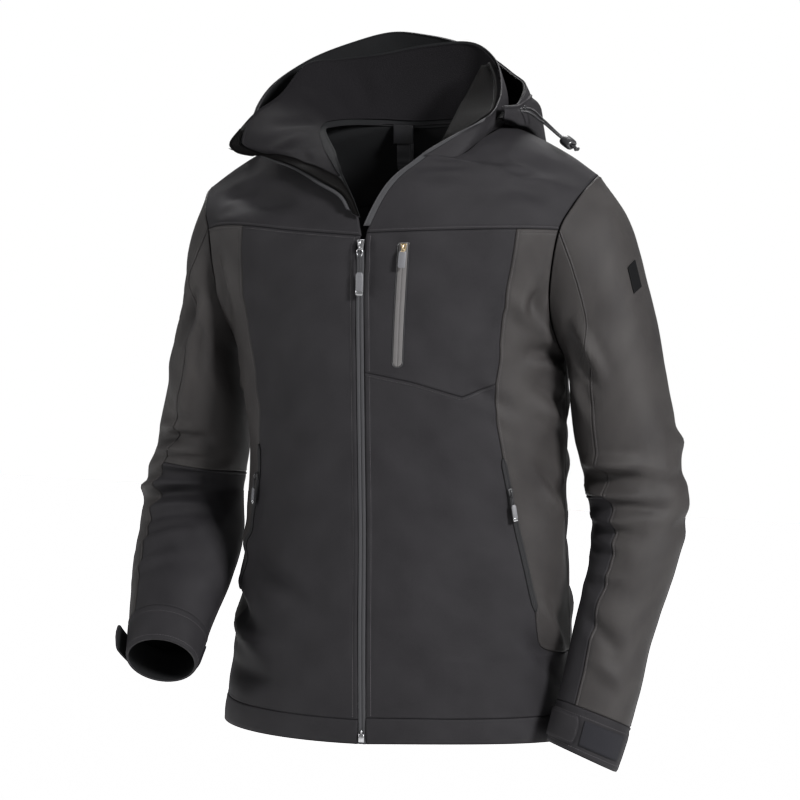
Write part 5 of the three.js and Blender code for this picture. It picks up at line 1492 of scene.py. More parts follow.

# %% [markdown]
# On the wearer's left the zip edge turns in, and a facing of smoother cloth covers its inside up
# to the top of the collar. Its near-black colour is painted shade of the inside of the collar.
# %% Facing of the left zip edge
# outer edge x y z, inner edge x y z
FACING = [
    (84, -99, 14, 78, -94, 12),
    (104, -88, 25, 83, -86, 20),
    (121, -78, 36, 83, -68, 28),
    (131, -69, 44, 81, -40, 38),
    (130, -34, 53, 79, -12, 49),
    (123, 0, 68, 80, 6, 58),
    (112, 28, 85, 83, 30, 76),
    (98, 50, 100, 86, 52, 93),
]
FACING_LAST = len(FACING) - 1
FACING_BELLY = (3, 2, -3)
# The facing lies this far out from its form.
FACING_LIFT = 3.5
facing_rows = []
for row in FACING:
    outer, inner = np.array(row[:3], float), np.array(row[3:], float)
    facing_rows.append([outer, mix(outer, inner, 1 / 3) + FACING_BELLY,
                        mix(outer, inner, 2 / 3) + FACING_BELLY, inner])
FACING_LOFT = Loft(facing_rows)


def facing_smooth(s, t):
    return both(lambda a, b: curve_point(FACING_LOFT.at(a), b), s, t)


def facing(s, t):
    s, t = np.broadcast_arrays(s, t)
    return facing_smooth(s, t), neck_normals(facing_smooth, FACING_LAST, s, t, 1)


facing_shares = np.array([0.05, 0.2, 0.36, 0.52, 0.68, 0.84, 1])
cloth("collar_facing_left", pairs(stations(0, FACING_LAST, 0.5), facing_shares), facing, "ffsf",
      FACING_CLOTH, [facing_softshell_painted_shade, facing_softshell_painted_shade], FACING_LIFT)
print("facing built")

# %% [markdown]
# The hood hangs open down the back: a rim round the neck, a belly that swells outwards, the foot of the
# pouch, and the inner side that rises again to its root on the collar.
# %% Hood
# rim, belly, foot and inner side x y z, and the collar station of the root
HOOD = [
    (139, -42, 54, 144, -47, 48, 142, -47, 41, 139, -43, 40, 2.4),
    (143, -12, 54, 148, -18, 44, 146, -22, 36, 142, -17, 36, 3),
    (143, 10, 55, 149, 4, 43, 147, 0, 30, 142, 4, 31, 3.5),
    (144, 28, 64, 153, 24, 40, 151, 22, 26, 143, 26, 31, 4),
    (140, 48, 74, 155, 58, 36, 151, 64, 10, 136, 58, 22, 4.5),
    (118, 70, 86, 150, 102, 14, 140, 124, -62, 120, 104, -6, 5.1),
    (77, 101, 106, 122, 148, 6, 106, 160, -118, 86, 136, -36, 5.8),
    (31, 127, 120, 64, 174, 4, 54, 186, -150, 40, 150, -56, 6.4),
    (-8, 135, 127, 0, 182, 4, 0, 194, -162, -4, 154, -60, 7),
    (-50, 138, 130, -64, 174, 4, -56, 186, -152, -46, 150, -56, 7.7),
    (-95, 129, 119, -122, 150, 4, -106, 160, -120, -92, 136, -38, 8.6),
    (-150, 108, 96, -168, 116, 10, -146, 124, -66, -126, 106, -14, 9.5),
    (-187, 80, 66, -196, 82, 6, -172, 78, -18, -148, 66, 4, 10.2),
    (-194, 48, 42, -202, 44, 4, -176, 40, -4, -150, 34, 6, 10.9),
    (-189, 22, 27, -192, 14, 6, -174, 10, 0, -152, 8, 5, 11.6),
]


def hood_row(row):
    """The four points of a station from the table, and its root on the collar."""
    station = row[12]
    height = 0.45 if station < 3.2 else 0.1
    base = collar_smooth(station, height)
    n = normals_of(collar_smooth, np.array(station), np.array(height), 1)
    away = 1.7 if station > 9 else 0.5
    return [row[0:3], row[3:6], row[6:9], row[9:12], tuple(base + n * away)]


HOOD_LOFT = Loft([hood_row(row) for row in HOOD])
HOOD_LAST = len(HOOD) - 1


def gap(a, b):
    return np.linalg.norm(b - a, axis=1, keepdims=True) + 1e-6


def through_points(points, t):
    """A smooth line through the points of each row, read from 0 to 1."""
    last = points.shape[1] - 1
    x = np.clip(t, 0, 1) * last
    i = np.clip(np.floor(x).astype(int), 0, last - 1)
    f = (x - i)[:, None]
    spot = np.arange(len(points))
    p0, p1 = points[spot, i], points[spot, i + 1]
    before, beyond = points[spot, np.maximum(i - 1, 0)], points[spot, np.minimum(i + 2, last)]
    d0, d1, d2 = gap(before, p0), gap(p0, p1), gap(p1, beyond)
    step = p1 - p0
    m0 = step * d0 / (d0 + d1) + (p0 - before) * d1**2 / d0 / (d0 + d1)
    m0 = np.where(i[:, None] > 0, m0, step)
    m1 = step * d2 / (d1 + d2) + (beyond - p1) * d1**2 / d2 / (d1 + d2)
    m1 = np.where(i[:, None] < last - 1, m1, step)
    return (p0 * (2 * f**3 - 3 * f**2 + 1) + m0 * (f**3 - 2 * f**2 + f)
            + p1 * (3 * f**2 - 2 * f**3) + m1 * (f**3 - f**2))


def hood_smooth(s, t):
    return both(lambda a, b: through_points(HOOD_LOFT.at(a), b), s, t)


# Hood creases: station and profile position of each end, width and height in mm.
HOOD_CREASES = [
    (1.4, 0.12, 1.9, 0.34, 5, 1.8),
    (2.6, 0.18, 4.6, 0.30, 7, -3.5),
    (3.4, 0.12, 5.4, 0.2, 8, 3),
    (5.0, 0.22, 6.0, 0.42, 12, -4),
    (6.2, 0.15, 6.8, 0.44, 13, 3.5),
    (7.6, 0.12, 8.2, 0.45, 14, -5),
    (8.8, 0.16, 9.4, 0.42, 12, 4),
    (9.8, 0.14, 11.4, 0.3, 10, -4),
    (10.6, 0.1, 12.6, 0.2, 8, 3),
    (12.2, 0.16, 13.4, 0.3, 7, -2.5),
    (6.0, 0.5, 8.6, 0.52, 14, 4),
]
hood_lines = crease_lines(hood_smooth, HOOD_CREASES)


def hood(s, t):
    s, t = np.broadcast_arrays(np.asarray(s, float), np.asarray(t, float))
    n = neck_normals(hood_smooth, HOOD_LAST, s, t, -1)
    fade = np.clip(t / 0.1, 0, 1) * np.clip((0.97 - t) / 0.3, 0, 1)
    fade = fade * np.clip(np.minimum(s, HOOD_LAST - s) / 0.8, 0, 1)
    return creased(hood_smooth(s, t), n, hood_lines, fade), n


CASING_CLOTH = 1.3
hood_heights = np.array([0, 0.05, 0.1, 0.18, 0.27, 0.37, 0.46, 0.54, 0.64, 0.76, 0.88, 1])
cloth("hood", pairs(stations(0, HOOD_LAST), hood_heights), hood, "ffpp")
cloth("hood_casing", pairs(stations(0, HOOD_LAST), hood_heights[:3]), hood, "fffs", CASING_CLOTH,
      lift=CASING_CLOTH + LAY, inset=1)
print("hood built")

# %% [markdown]
# The main zip is a reverse coil: the woven tapes are folded over the coil and meet at a fine dark gap.
# Under the slider it is closed; above it the two tapes part with the open fronts.
# %% Main zip and tapes
CHAIN_PROFILE = [(-ZIP_HALF, 0.6), (-3.9, 0.9), (-2.6, 1.15), (-1.1, 1.05), (-0.45, 0.55), (0, -0.5),
                 (0.45, 0.55), (1.1, 1.05), (2.6, 1.15), (3.9, 0.9), (ZIP_HALF, 0.6)]
CHAIN_SUNK = 0.9
CHAIN_WALL = 1.8
chain_v = np.arange(0, 6.6, 0.05)
centre_line = RIGHT.smooth(0, chain_v)
chain = np.array([[(x, p[1] - h + CHAIN_SUNK, p[2]) for x, h in CHAIN_PROFILE] for p in centre_line])
chain_n = np.zeros_like(chain)
chain_n[..., 1] = -1
main_zip = wall("main_zip_cloth", chain, chain_n, CHAIN_WALL, [charcoal_tape])
dress(main_zip, "main_zip")
# How far out from the cloth's edge a tape is read, and how high its coil stands there.
UNDER_CLOTH = [-1.0, 0.4]
TAPE_SHARES = np.array([0, 0.25, 0.5, 0.68, 0.76, 0.88, 1])
TAPE_HEIGHTS = np.array([-0.35, -0.35, 0, 0, 0, 0.1, 0.9, 0.9, 0.1])


def tape_beyond(name, p, n, side, width, gap):
    """A tape starts under a cloth's edge and runs on past it, with its coil as a bead at its edge."""
    out = np.concatenate([UNDER_CLOTH, gap + width * TAPE_SHARES])
    grid = p[:, None] + side[:, None] * out[None, :, None] + n[:, None] * TAPE_HEIGHTS[None, :, None]
    made = wall(name + "_cloth", grid, np.repeat(n[:, None], len(out), 1), TAPE, [charcoal_tape],
                inset=0.1)
    dress(made, name)


v = np.arange(7.15, 8.95, 0.05)
p, n = body(LEFT, np.zeros_like(v), v)
side = unit(LEFT.smooth(0, v) - LEFT.smooth(0.02, v))
t = np.array([0.1, 0.18, 0.25, 0.35, 0.45, 0.57, 0.7, 0.82, 0.93])
q, m = collar(np.zeros_like(t), t)
q_side = unit(collar_smooth(0, t) - collar_smooth(0.1, t))
on_both = (np.concatenate(pair) for pair in ((p, q), (n, m), (side, q_side)))
tape_beyond("zip_tape_left", *on_both, 5.2, 1.6)
s = np.arange(14.2, 19.85, 0.1)
p, n = collar(s, np.ones_like(s))
side = unit(collar_smooth(s, 1) - collar_smooth(s, 0.96))
tape_beyond("zip_tape_right", p, n, side, 4, 1.4)
print("main zip built")

# %% [markdown]
# Small hard parts are put together from a few shapes: a plate cut to an outline with softened edges, a
# wire or cord that follows a path, and a ring. Each part is set on the cloth by its seat, with x across,
# y up along the cloth and z out of it.
# %% Shapes for small parts
def oval(wide, high, depth=0.0, centre=0.0, count=24):
    """Points round an oval, at one depth."""
    turn = np.linspace(0, 2 * np.pi, count + 1)[:-1]
    return np.column_stack([wide * np.cos(turn), centre + high * np.sin(turn), np.full(count, depth)])


class Part:
    """A small hard part, put together from closed shapes. Each shape names its material by a number."""

    def __init__(self):
        self.points = []
        self.faces = []
        self.marks = []

    def put(self, points, faces, mark=0):
        start = len(self.points)
        self.points += [tuple(p) for p in points]
        self.faces += [tuple(start + i for i in f) for f in faces]
        self.marks += [mark] * len(faces)

    def plate(self, outline, depth, soft, z=0.0, mark=0):
        """A flat plate: its outline, how thick it is, and how far its edges are rounded off."""
        ring = np.array(outline, float)
        ahead = unit(np.roll(ring, -1, 0) - np.roll(ring, 1, 0))
        inward = np.stack([-ahead[:, 1], ahead[:, 0]], -1)
        area = (ring[:, 0] * np.roll(ring[:, 1], -1) - ring[:, 1] * np.roll(ring[:, 0], -1)).sum()
        inward = inward * (1 if area > 0 else -1)
        if area < 0:
            ring, inward = ring[::-1], inward[::-1]
        layers = []
        for height, inset in ((0, soft), (0.3 * soft, 0.3 * soft), (soft, 0), (depth - soft, 0),
                              (depth - 0.3 * soft, 0.3 * soft), (depth, soft)):
            flat = ring + inward * inset
            layers.append(np.column_stack([flat, np.full(len(flat), z + height)]))
        count = len(ring)
        faces = grid_faces(len(layers), count, ring=True)
        faces.append(tuple(range(count))[::-1])
        faces.append(tuple((len(layers) - 1) * count + k for k in range(count)))
        self.put(np.concatenate(layers), faces, mark)

    def tube(self, path, radius, sides=10, closed=False, mark=0, flat=1.0):
        """A wire or cord along a path; flat is its depth as a share of its width."""
        path = np.array(path, float)
        radius = np.broadcast_to(radius, len(path))
        if closed:
            ahead = unit(np.roll(path, -1, 0) - np.roll(path, 1, 0))
        else:
            ahead = unit(np.gradient(path, axis=0))
        out = np.cross(ahead[0], (0.3, 0.2, 1.0))
        turn = (np.arange(sides) / sides * 2 * np.pi)[:, None]
        rings = []
        for i, way in enumerate(ahead):
            out = unit(out - way * (out @ way))
            up = np.cross(way, out)
            rings.append(path[i] + radius[i] * (np.cos(turn) * out + flat * np.sin(turn) * up))
        if closed:
            rings.append(rings[0])
        faces = grid_faces(len(rings), sides, ring=True)
        if not closed:
            faces.append(tuple(range(sides))[::-1])
            faces.append(tuple((len(rings) - 1) * sides + k for k in range(sides)))
        self.put(np.concatenate(rings), faces, mark)

    def place(self, name, matrix, materials, ride, slot, replaces=()):
        lay = np.array(self.points)
        q = lay @ matrix[:3, :3].T + matrix[:3, 3]
        made = build_mesh(name, q, self.faces, lay, materials)
        made.data.polygons.foreach_set("material_index", np.array(self.marks, np.int32))
        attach(made, ride)
        for node in replaces:
            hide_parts(node)
        return made


def frame_of(x, y, z, at):
    m = np.eye(4)
    m[:3, 0], m[:3, 1], m[:3, 2], m[:3, 3] = x, y, z, at
    return m


def moved(m, x, y, z):
    step = np.eye(4)
    step[:3, 3] = (x, y, z)
    return m @ step


def turned(m, axis, degrees):
    return m @ np.array(Matrix.Rotation(math.radians(degrees), 4, axis))


def seat(form, u, v, out):
    """A place on the body to set a part on, this far out from the cloth."""
    p, n = body(form, np.array(u), np.array(v))
    up = form.smooth(u, v + 0.02) - form.smooth(u, v - 0.02)
    up = up * (1 if up[2] > 0 else -1)
    up = unit(up - n * (up @ n))
    return frame_of(np.cross(up, n), up, n, p + n * out)


def mirrored(side):
    """An outline from its right side, given from the top down."""
    return side + [(-x, y) for x, y in side[::-1]]


def box_outline(half, low, high):
    return [(-half, low), (half, low), (half, high), (-half, high)]


# Half widths and heights of a slider's outline, as shares of its size.
SLIDER_SIDE = [(0.2, 0.5), (0.47, 0.5), (0.5, 0.46), (0.5, 0.3), (0.43, 0.0), (0.36, -0.25), (0.3, -0.46),
               (0.24, -0.5)]


def slider_outline(w, h):
    return mirrored([(w * x, h * y) for x, y in SLIDER_SIDE])


def slider(name, matrix, w, h, d, material, slot):
    """A slider: two plates with a gap, a post between them, and a bridge that carries the pull."""
    part = Part()
    part.plate(slider_outline(w, h), d * 0.36, 0.35)
    part.plate(slider_outline(w * 0.96, h * 0.96), d * 0.34, 0.35, d * 0.66)
    part.plate(box_outline(w * 0.2, -h * 0.2, h * 0.35), d * 0.5, 0.1, d * 0.25)
    turn = np.linspace(0, np.pi, 13)
    bridge_high = d * 0.9 + (0.9 + h * 0.13) * np.sin(turn)
    part.tube(np.column_stack([np.zeros(13), h * 0.4 * np.cos(turn), bridge_high]), w * 0.13, 8, flat=0.7)
    part.place(name + "_metal", matrix, [material], GARMENT, slot, [name])


def tab_outline(top, wide, start, length, corner):
    side = [(top / 2, start), (wide / 2, start - 2.5), (wide / 2, -length + corner)]
    side += [(wide / 2 - corner * (1 - math.cos(a)), -length + corner * (1 - math.sin(a)))
             for a in np.linspace(0, math.pi / 2, 5)[1:]]
    return mirrored(side)


def loop_path(half, top, low, count=10):
    """One turn of cord: down one side, over the end, and up the other."""
    down = [(half, y, 0) for y in np.linspace(top, low, count)]
    return down + [(-x, y, z) for x, y, z in down[::-1]]


print("a slider's outline has", len(slider_outline(8, 12)), "corners")


# %% [markdown]
# The main pull hangs from its slider on a wire ring and a loop of cord, and ends in a moulded tab with a
# bright metal end. It turns on the slider's bridge.
# %% Main slider and pull
MAIN_SLIDER_ROW = 6.74
ACROSS, UPWARDS, FORWARDS = (1, 0, 0), (0, 0, 1), (0, -1, 0)
_, centre_y, centre_z = (float(x) for x in RIGHT.smooth(0, MAIN_SLIDER_ROW))
main_seat = frame_of(ACROSS, UPWARDS, FORWARDS, (2, centre_y - 1.6, centre_z))
slider("main_slider", main_seat, 8, 12, 3.6, steel_pin, "metal_slider")
hinge = turned(moved(main_seat, 0, -5, 5.7), "X", -2)
pull = Part()
pull.tube(oval(3.6, 4.4, centre=-3.4), 0.55, 8, True, mark=1)
pull.tube(loop_path(1.0, -7.2, -27.5), 0.85, 8, mark=2)
pull.tube([(0, -6.6, 0), (0, -8.6, 0)], [1.9, 1.7], 10, mark=2, flat=0.6)
pull.plate(tab_outline(5.0, 8.5, -26, 52, 1.6), 2.6, 0.7, -1.3)
pull.plate(tab_outline(8.2, 8.9, -46.8, 52.3, 1.8), 3.0, 0.7, -1.5, mark=1)
pull.place("main_pull_tab", hinge, [tab_grey, steel_pin, braided_cord], "main_pull_body", "soft_plastic",
           ["main_pull"])

# The bottom box and pin that close the zip at the hem.
box = Part()
box.plate(box_outline(3.4, -5, 5), 2.6, 0.7)
box.plate(box_outline(1.2, 5, 9), 1.8, 0.5)
foot = RIGHT.smooth(0, 0.05)
box_seat = frame_of(ACROSS, UPWARDS, FORWARDS, (0, foot[1] - 0.6, foot[2] + 1.5))
box.place("zip_box", box_seat, [steel_pin], GARMENT, "metal_slider")
print("main zip hardware built")

# %% [markdown]
# The chest pocket closes with a grey reverse coil zip behind a window cut with a laser. A thin welded rim
# seals the cut edge all round.
# %% Chest pocket
CHEST_ZIP_TOP = (51, -95)
CHEST_ZIP_FOOT = (43.5, -238)
CHEST_ROUND = CHEST_ZIP_HALF / (CHEST_ZIP_TOP[1] - CHEST_ZIP_FOOT[1])


def chest_at(t, x):
    """A place on the chest zip: how far down it, and how far from its middle in millimetres."""
    z = mix(CHEST_ZIP_TOP[1], CHEST_ZIP_FOOT[1], t)
    v = row_at(LEFT, 0.2, z, 3, 7)
    return body(LEFT, across(LEFT, v, mix(CHEST_ZIP_TOP[0], CHEST_ZIP_FOOT[0], t) + x), v)


straight = 1 - CHEST_ROUND
round_foot = 1 - CHEST_ROUND * np.cos(np.linspace(0.15, 1.571, 9))
steps_down = np.concatenate([np.linspace(0, straight, 60), round_foot])
into_round = np.maximum(0, (steps_down - 1 + CHEST_ROUND) / CHEST_ROUND)
wide_at = np.sqrt(np.maximum(0.08, 1 - into_round ** 2))
tape_x = np.array([-1, -0.8, -0.55, -0.3, -0.12, 0, 0.12, 0.3, 0.55, 0.8, 1])
tape_h = np.array([0, 0.1, 0.35, 0.5, 0.3, -0.35, 0.3, 0.5, 0.35, 0.1, 0])
p, n = chest_at(steps_down[:, None], tape_x * wide_at[:, None] * CHEST_ZIP_HALF)
chest_zip = wall("chest_zip_cloth", p + n * tape_h[None, :, None], n, TAPE, [zip_tape_grey], TAPE + LAY - 0.3)
dress(chest_zip, "chest_zip")
# The rim goes down one side, round the foot and up the other side.
rim_t = np.concatenate([np.linspace(0, straight, 50), np.full(13, straight), np.linspace(straight, 0, 50)])
rim_turn = np.linspace(0, np.pi, 13)
rim_x = np.concatenate([np.full(50, 1.0), np.cos(rim_turn), np.full(50, -1.0)])
rim_t[50:63] += CHEST_ROUND * np.sin(rim_turn) * 1.15
p, n = chest_at(rim_t, rim_x * (CHEST_ZIP_HALF + 0.9))
rim = Part()
rim.tube(p + n * 0.25, 0.7, 8)
rim.place("welded_rim", np.eye(4), [acetal], GARMENT, "black_softshell")
chest_v = float(row_at(LEFT, 0.2, -101, 3, 7))
chest_seat = seat(LEFT, float(across(LEFT, chest_v, 51.5)), chest_v, TAPE + 1.3)
slider("chest_slider", chest_seat, 7, 10, 2.6, cast_zinc, "metal_slider")
pull = Part()
pull.plate(tab_outline(5.4, 8.6, 0.4, 19.5, 2.2), 1.8, 0.6, -0.9)
pull.plate(box_outline(2.2, -1.2, 1.8), 2.2, 0.6, -1.1, mark=1)
pull.place("chest_pull_tab", turned(moved(chest_seat, 0, -3.5, 4.4), "X", -3), [tab_grey, cast_zinc],
           "chest_pull_body", "soft_plastic", ["chest_pull"])
print("chest pocket built")

# %% [markdown]
# The hand pockets open in the side seams. Their zips sit deep between two lips of cloth, so that only a
# narrow dark line shows, with the pull hanging out of it.
# %% Hand pockets
HAND_ZIP_TOP = -347
HAND_ZIP_FOOT = -532
HAND_ZIP_END = 8
HAND_SLIDER_HEIGHT = -388
LIP_SHARES = np.array([-1, -0.7, -0.35, 0, 0.35, 0.7, 1])
LIP_HEIGHTS = np.array([0.2, 1.0, 0.35, -0.4, 0.35, 1.0, 0.2])
for name, form, seam in (("left", LEFT, SIDE_SEAM_LEFT), ("right", RIGHT, SIDE_SEAM_RIGHT)):
    z = np.linspace(HAND_ZIP_TOP, HAND_ZIP_FOOT, 60)
    v = row_at(form, 0.85, z, 1, 5)
    u = across(form, v, along(seam, z))
    per_share = np.linalg.norm(form.smooth(u + 0.01, v) - form.smooth(u - 0.01, v), axis=-1) / 0.02
    from_end = np.minimum((z - HAND_ZIP_FOOT) / HAND_ZIP_END, (HAND_ZIP_TOP - z) / HAND_ZIP_END)
    close = np.sqrt(np.clip(from_end, 0.06, 1))
    p, n = body(form, u[:, None] + LIP_SHARES * (close / per_share)[:, None] * HAND_ZIP_HALF, v[:, None])
    made = wall("hand_zip_" + name + "_cloth", p + n * LIP_HEIGHTS[None, :, None], n, TAPE, [pocket_tape],
                1.1)
    dress(made, "hand_zip_" + name)
    v0 = float(row_at(form, 0.85, HAND_SLIDER_HEIGHT, 1, 5))
    u0 = float(across(form, v0, along(seam, HAND_SLIDER_HEIGHT)))
    hand_seat = turned(seat(form, u0, v0, TAPE + 1.6), "Z", form.side * 8)
    slider("hand_slider_" + name, hand_seat, 6, 9, 2.4, acetal, "plastic")
    pull = Part()
    pull.tube(loop_path(0.8, -1.0, -12), 0.6, 8, mark=2)
    pull.tube([(-1.5, 0, 0), (1.5, 0, 0)], 0.7, 8, mark=2)
    pull.plate(tab_outline(3.6, 6, -10.5, 30, 1.4), 2.0, 0.6, -1.0)
    pull.plate(tab_outline(5.8, 6.3, -26, 30.2, 1.5), 2.3, 0.6, -1.15, mark=1)
    pull.place("hand_pull_" + name + "_tab", turned(moved(hand_seat, 0, -3.4, 4.2), "X", -4),
               [tab_grey, steel_pin, braided_cord], "hand_pull_" + name + "_body", "soft_plastic",
               ["hand_pull_" + name])
print("hand pockets built")


def cuff_piece(name, form, angles, rows, lift, flare, thickness, materials, sewn):
    """A strip round part of a cuff. A sewn one has a rounded free end and stitches all round."""
    s = np.linspace(0, 1, 44)
    t = np.linspace(0, 1, 9)
    angle = mix(*angles, s)[:, None]
    length = 0.9 * abs(angles[1] - angles[0])
    end = np.clip((s - 1) * length / 7 + 1, 0, 1) if sewn else np.zeros_like(s)
    narrow = (0.5 * (1 - np.sqrt(1 - 0.92 * end**2)))[:, None]
    raised = flare * np.maximum(0, (s - 0.6) / 0.4) ** 2
    p, n = sleeve(form, angle, mix(*rows, mix(narrow, 1 - narrow, t)))
    p = p + n * raised[:, None, None]
    edge = np.minimum(np.minimum(t, 1 - t) * 30, 9)
    soft = -0.5 * hill(edge, 1.0)
    if sewn:
        soft = soft - 0.45 * hill(edge - 2.6, 0.8)
    p = p + n * soft[None, :, None]
    made = wall(name + "_cloth", p, n, thickness, materials, lift, 0.3)
    dress(made, name)
    if sewn:
        q, m = sleeve(form, angle, mix(*rows, mix(narrow, 1 - narrow, np.array([0.11, 0.89]))))
        q = q + m * (lift + raised)[:, None, None]
        line = np.concatenate([q[1:-1, 0], q[-2:-1, 1], q[1:-1, 1][::-1]])
        sew(line, np.concatenate([m[1:-1, 0], m[-2:-1, 0], m[1:-1, 1][::-1]]), -0.1)


TAB_ROWS = (9.42, 9.9)
HOOK_ROWS = (9.46, 9.86)
for side, form, tab_turn, flare, hook_turn in (("left", SLEEVE_LEFT, (215, 96), 0, (90, 20)),
                                               ("right", SLEEVE_RIGHT, (-80, 34), 12, (-86, -150))):
    cuff_piece("cuff_tab_" + side, form, tab_turn, TAB_ROWS, 3.4, flare, CLOTH, BLACK_FACES,
               True)
    cuff_piece("hook_strip_" + side, form, hook_turn, HOOK_ROWS, 2.7, 0, 1.0, [hook_tape],
               False)
print("cuff tabs built")

# %% [markdown]
# A bare patch of soft rubber with a raised border sits on the wearer's left sleeve.
# %% Sleeve patch
PATCH_ROWS = (1.62, 1.98)
PATCH_TURN = (15, 31)
PATCH_WALL = 0.8
w = np.linspace(*PATCH_ROWS, 25)
a = np.linspace(*PATCH_TURN, 17)
p, n = sleeve(SLEEVE_LEFT, a, w[:, None])
inside = np.minimum(np.minimum(a - PATCH_TURN[0], PATCH_TURN[1] - a)[None, :],
                    (np.minimum(w - PATCH_ROWS[0], PATCH_ROWS[1] - w) * RING_STEP)[:, None])
border = np.where(inside < 1.6, 0.35, 0.0) - np.where(inside < 0.3, 0.3, 0.0)
patch = wall("sleeve_patch_bare", p + n * border[..., None], n, PATCH_WALL, [soft_rubber],
             PATCH_WALL + LAY)
dress(patch, "sleeve_patch")
print("patch built")

# %% [markdown]
# A bare woven label and a loop of satin webbing are sewn inside the back neck.
# %% Label and hang loop
LABEL_LEFT, LABEL_RIGHT = -30, -5
LABEL_TOP, LABEL_FOOT = 22, -1
x = np.linspace(LABEL_LEFT, LABEL_RIGHT, 21)
z = np.linspace(LABEL_TOP, LABEL_FOOT, 19)[:, None]
belly = 0.9 * np.sin((x - LABEL_LEFT) / (LABEL_RIGHT - LABEL_LEFT) * np.pi)[None, :]
p = np.zeros((19, 21, 3))
p[..., 0] = x
p[..., 1] = 72.6 - (LABEL_TOP - z) * 0.02 - belly * ((LABEL_TOP - z) / (LABEL_TOP - LABEL_FOOT))
p[..., 2] = z
n = np.zeros_like(p)
n[..., 1] = -1
label = wall("label_cloth", p, n, 0.8, [label_satin])
dress(label, "label")
LOOP_WIDE, LOOP_HIGH = 4.0, 22.4
WEBBING = 18
WEBBING_HALF = 0.6
loop = Part()
ring = oval(LOOP_WIDE, LOOP_HIGH, count=48)[:, :2]
thick = unit(oval(LOOP_HIGH, LOOP_WIDE, count=48)[:, :2]) * WEBBING_HALF
layers = [np.column_stack([ring + thick, np.full(48, depth)]) for depth in np.linspace(0, WEBBING, 7)]
layers += [np.column_stack([ring - thick, np.full(48, depth)]) for depth in np.linspace(WEBBING, 0, 7)]
layers.append(layers[0])
loop.put(np.concatenate(layers), grid_faces(len(layers), 48, ring=True))
loop_seat = frame_of((0, 1, 0), (0, 0, 1), (1, 0, 0), (-26, 79.2, -10))
loop.place("hang_loop_webbing", loop_seat, [satin_webbing], GARMENT, "woven_label", ["hang_loop"])
print("label and hang loop built")

# %% [markdown]
# The drawcord leaves the hood's casing through two eyelets, runs through the cord lock, and ends in two
# knotted free ends.
# %% Drawcord and lock
LOCK = np.array([208.0, -8, 12])
LOCK_LENGTH = 15
CORD_WAY = unit(np.array([0.8, -0.36, -0.48]))
CORD_SIDE = unit(np.cross(CORD_WAY, (0, 0, 1)))
for name, place, side in (("upper", (2.55, 0.16), -1), ("lower", (1.85, 0.2), 1)):
    def on_lock(distance):
        return LOCK + CORD_WAY * distance + CORD_SIDE * side * 1.55

    p, n = hood(np.array(place[0]), np.array(place[1]))
    start = p + n * (LAY + (0.2 if name == "upper" else 0))
    halfway = mix(start, on_lock(-13), 0.5) + (1.5, side * 1.5, 2.5)
    route = np.array([start, start + n * 4 + (2, 0, -2), halfway, on_lock(-13), on_lock(-9), on_lock(0),
                      on_lock(LOCK_LENGTH / 2 + 9)])
    path = Loft(route[:, None]).at(np.linspace(0, len(route) - 1, 61))[:, 0]
    cord = Part()
    cord.tube(path, CORD / 2, 12)
    end = on_lock(LOCK_LENGTH / 2 + 7)
    knot = np.linspace(0, 2 * np.pi, 19)[:-1]
    way_round = np.cos(knot)[:, None] * CORD_SIDE + np.sin(knot)[:, None] * np.cross(CORD_WAY, CORD_SIDE)
    cord.tube(end + 1.5 * way_round + CORD_WAY * (knot / 6)[:, None], 1.1, 8, True)
    made = cord.place("drawcord_" + name + "_braid", np.eye(4), [braided_cord], GARMENT, "cord",
                      ["drawcord_" + name])
    eyelet = Part()
    eyelet.tube(oval(2.6, 2.6), 0.75, 8, True)
    across_eye = unit(np.cross(n, (0, 0, 1)))
    eye_seat = frame_of(across_eye, np.cross(n, across_eye), n, p + n * 1.9)
    eyelet.place("eyelet_" + name, eye_seat, [acetal], GARMENT, "plastic")

# The lock is a barrel with a slot: depth and size of each ring outside, then depths in the slot.
BARREL = [(-7.5, 0.72), (-6.9, 0.88), (-5.5, 0.97), (-2, 1.0), (2, 1.0), (5.5, 0.97), (6.9, 0.88),
          (7.5, 0.72)]
BARREL_SLOT = (7.5, 6.0, -6.0, -7.5)
rings = [oval(8.5 * size, 6.5 * size, depth, count=32) for depth, size in BARREL]
rings += [oval(3.4, 1.9, depth, count=32) for depth in BARREL_SLOT]
rings.append(rings[0])
lock = Part()
lock.put(np.concatenate(rings), grid_faces(len(rings), 32, ring=True))
lock_seat = frame_of(CORD_SIDE, np.cross(CORD_WAY, CORD_SIDE), CORD_WAY, LOCK)
lock.place("cord_lock_barrel", lock_seat, [acetal], GARMENT, "plastic", ["cord_lock"])
print("drawcord built")

# %% [markdown]
# Every visible seam is sewn. Each stitch is a short bead of thread, a little sunk into its groove.
# %% Stitches
# A stitch is a bead of three points across and four along: width and height in mm, then shares.
BEAD = np.array([[-0.32, 0], [0, 0.26], [0.32, 0]])
ALONG = np.array([0, 0.22, 0.78, 1])
SWELL = np.array([0.25, 1, 1, 0.25])
BEAD_POINTS = len(BEAD) * len(ALONG)
SUNK = 0.15
points, faces = [], []
for starts, ends, out, lift in all_stitches:
    way = unit(ends - starts)
    wide = np.cross(way, out)
    block = (starts[:, None, None] + (ends - starts)[:, None, None] * ALONG[None, :, None, None]
             + wide[:, None, None] * (BEAD[:, 0] * SWELL[:, None])[None, ..., None]
             + out[:, None, None] * (lift - SUNK + BEAD[:, 1] * SWELL[:, None])[None, ..., None])
    points.extend(block.reshape(len(starts), BEAD_POINTS, 3))
for i in range(len(points)):
    a = i * BEAD_POINTS
    for row in range(a, a + 9, 3):
        faces += [(row + c, row + c + 1, row + c + 4, row + c + 3) for c in range(2)]
    faces += [(row + 2, row, row + 3, row + 5) for row in range(a, a + 9, 3)]
    faces += [(a, a + 2, a + 1), (a + 9, a + 10, a + 11)]
every_point = np.concatenate(points)
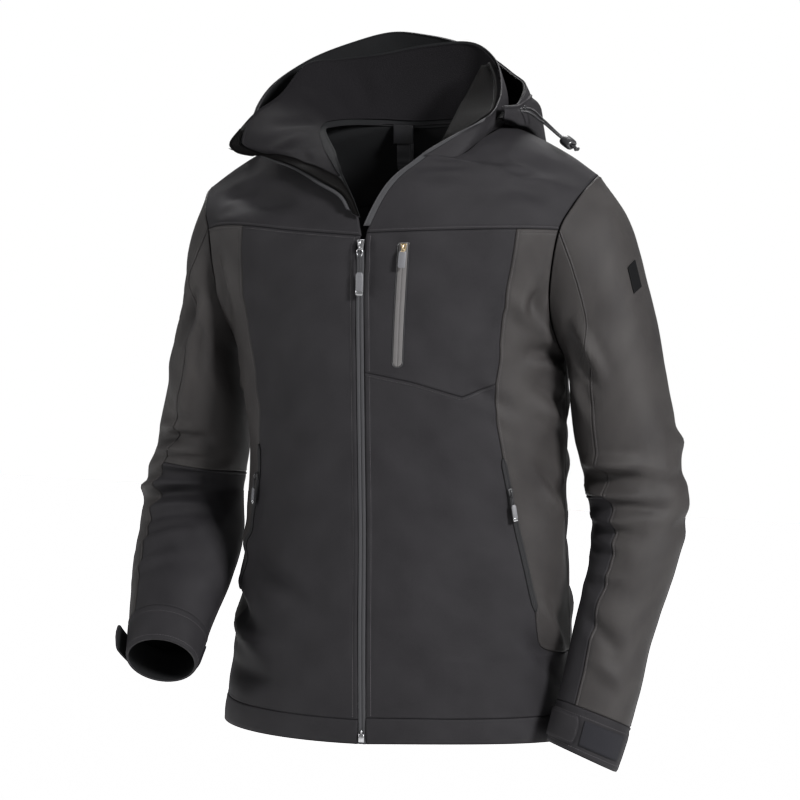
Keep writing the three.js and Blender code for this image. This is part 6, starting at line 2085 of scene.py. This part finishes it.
stitches = build_mesh("topstitching", every_point, faces, every_point, [polyester_thread])
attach(stitches, GARMENT)
print("stitches", len(points))

# %% [markdown]
# The photograph has no floor in sight, so the floor lies well below the hem and only catches the shadow.
# The surround is plain white to the camera, but lights the cloth weakly, so that the lamps can model its
# folds. Three soft lamps do that: a strong one in front on the right, a weak one in front on the left,
# and one above and behind that draws the edges.
# %% Stage
FLOOR_Z = -1450
FLOOR_REACH = 5000
floor_corners = [(x * FLOOR_REACH, y * FLOOR_REACH, FLOOR_Z) for x, y in ((-1, -1), (1, -1), (1, 1), (-1, 1))]
paper, tree = new_material("matt_paper")
close_material(tree, {"Base Color": colour("f2f2f2"), "Roughness": 0.9})
floor = build_mesh("floor", floor_corners, [(0, 1, 2, 3)], materials=[paper], smooth=False)
floor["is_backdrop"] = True
floor.is_shadow_catcher = True
ROOM_LIGHT = 0.36
world = bpy.data.worlds.new("studio")
bpy.context.scene.world = world
world.use_nodes = True
sky = world.node_tree.nodes["Background"]
sky.inputs["Color"].default_value = colour("ffffff")
seen = add(world.node_tree, "ShaderNodeLightPath").outputs["Is Camera Ray"]
glow = add(world.node_tree, "ShaderNodeMath", {0: seen, 1: 1 - ROOM_LIGHT, 2: ROOM_LIGHT},
           operation="MULTIPLY_ADD")
world.node_tree.links.new(glow.outputs[0], sky.inputs["Strength"])
bpy.context.scene.view_settings.view_transform = "Standard"
# place and size in metres, power in watts
LAMPS = [((2.9, -1.9, 1.5), 0.7, 385), ((-2.8, -1.6, 0.4), 0.8, 70), ((-0.4, 1.7, 1.7), 1.0, 95)]
LAMP_TARGET = Vector((0, 0, -0.3))
for i, (place, size, power) in enumerate(LAMPS):
    lamp = bpy.data.lights.new("soft_lamp_" + str(i), "AREA")
    lamp.size = size
    lamp.energy = power
    holder = bpy.data.objects.new("soft_lamp_" + str(i), lamp)
    bpy.context.scene.collection.objects.link(holder)
    holder.location = place
    holder.rotation_euler = (LAMP_TARGET - Vector(place)).to_track_quat("-Z", "Y").to_euler()
print("lamps", len(LAMPS))

# %% [markdown]
# Last, the size of the finished looks is printed.
# %% Finish
low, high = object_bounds()
print("looks from", [round(x, 3) for x in low], "to", [round(x, 3) for x in high])
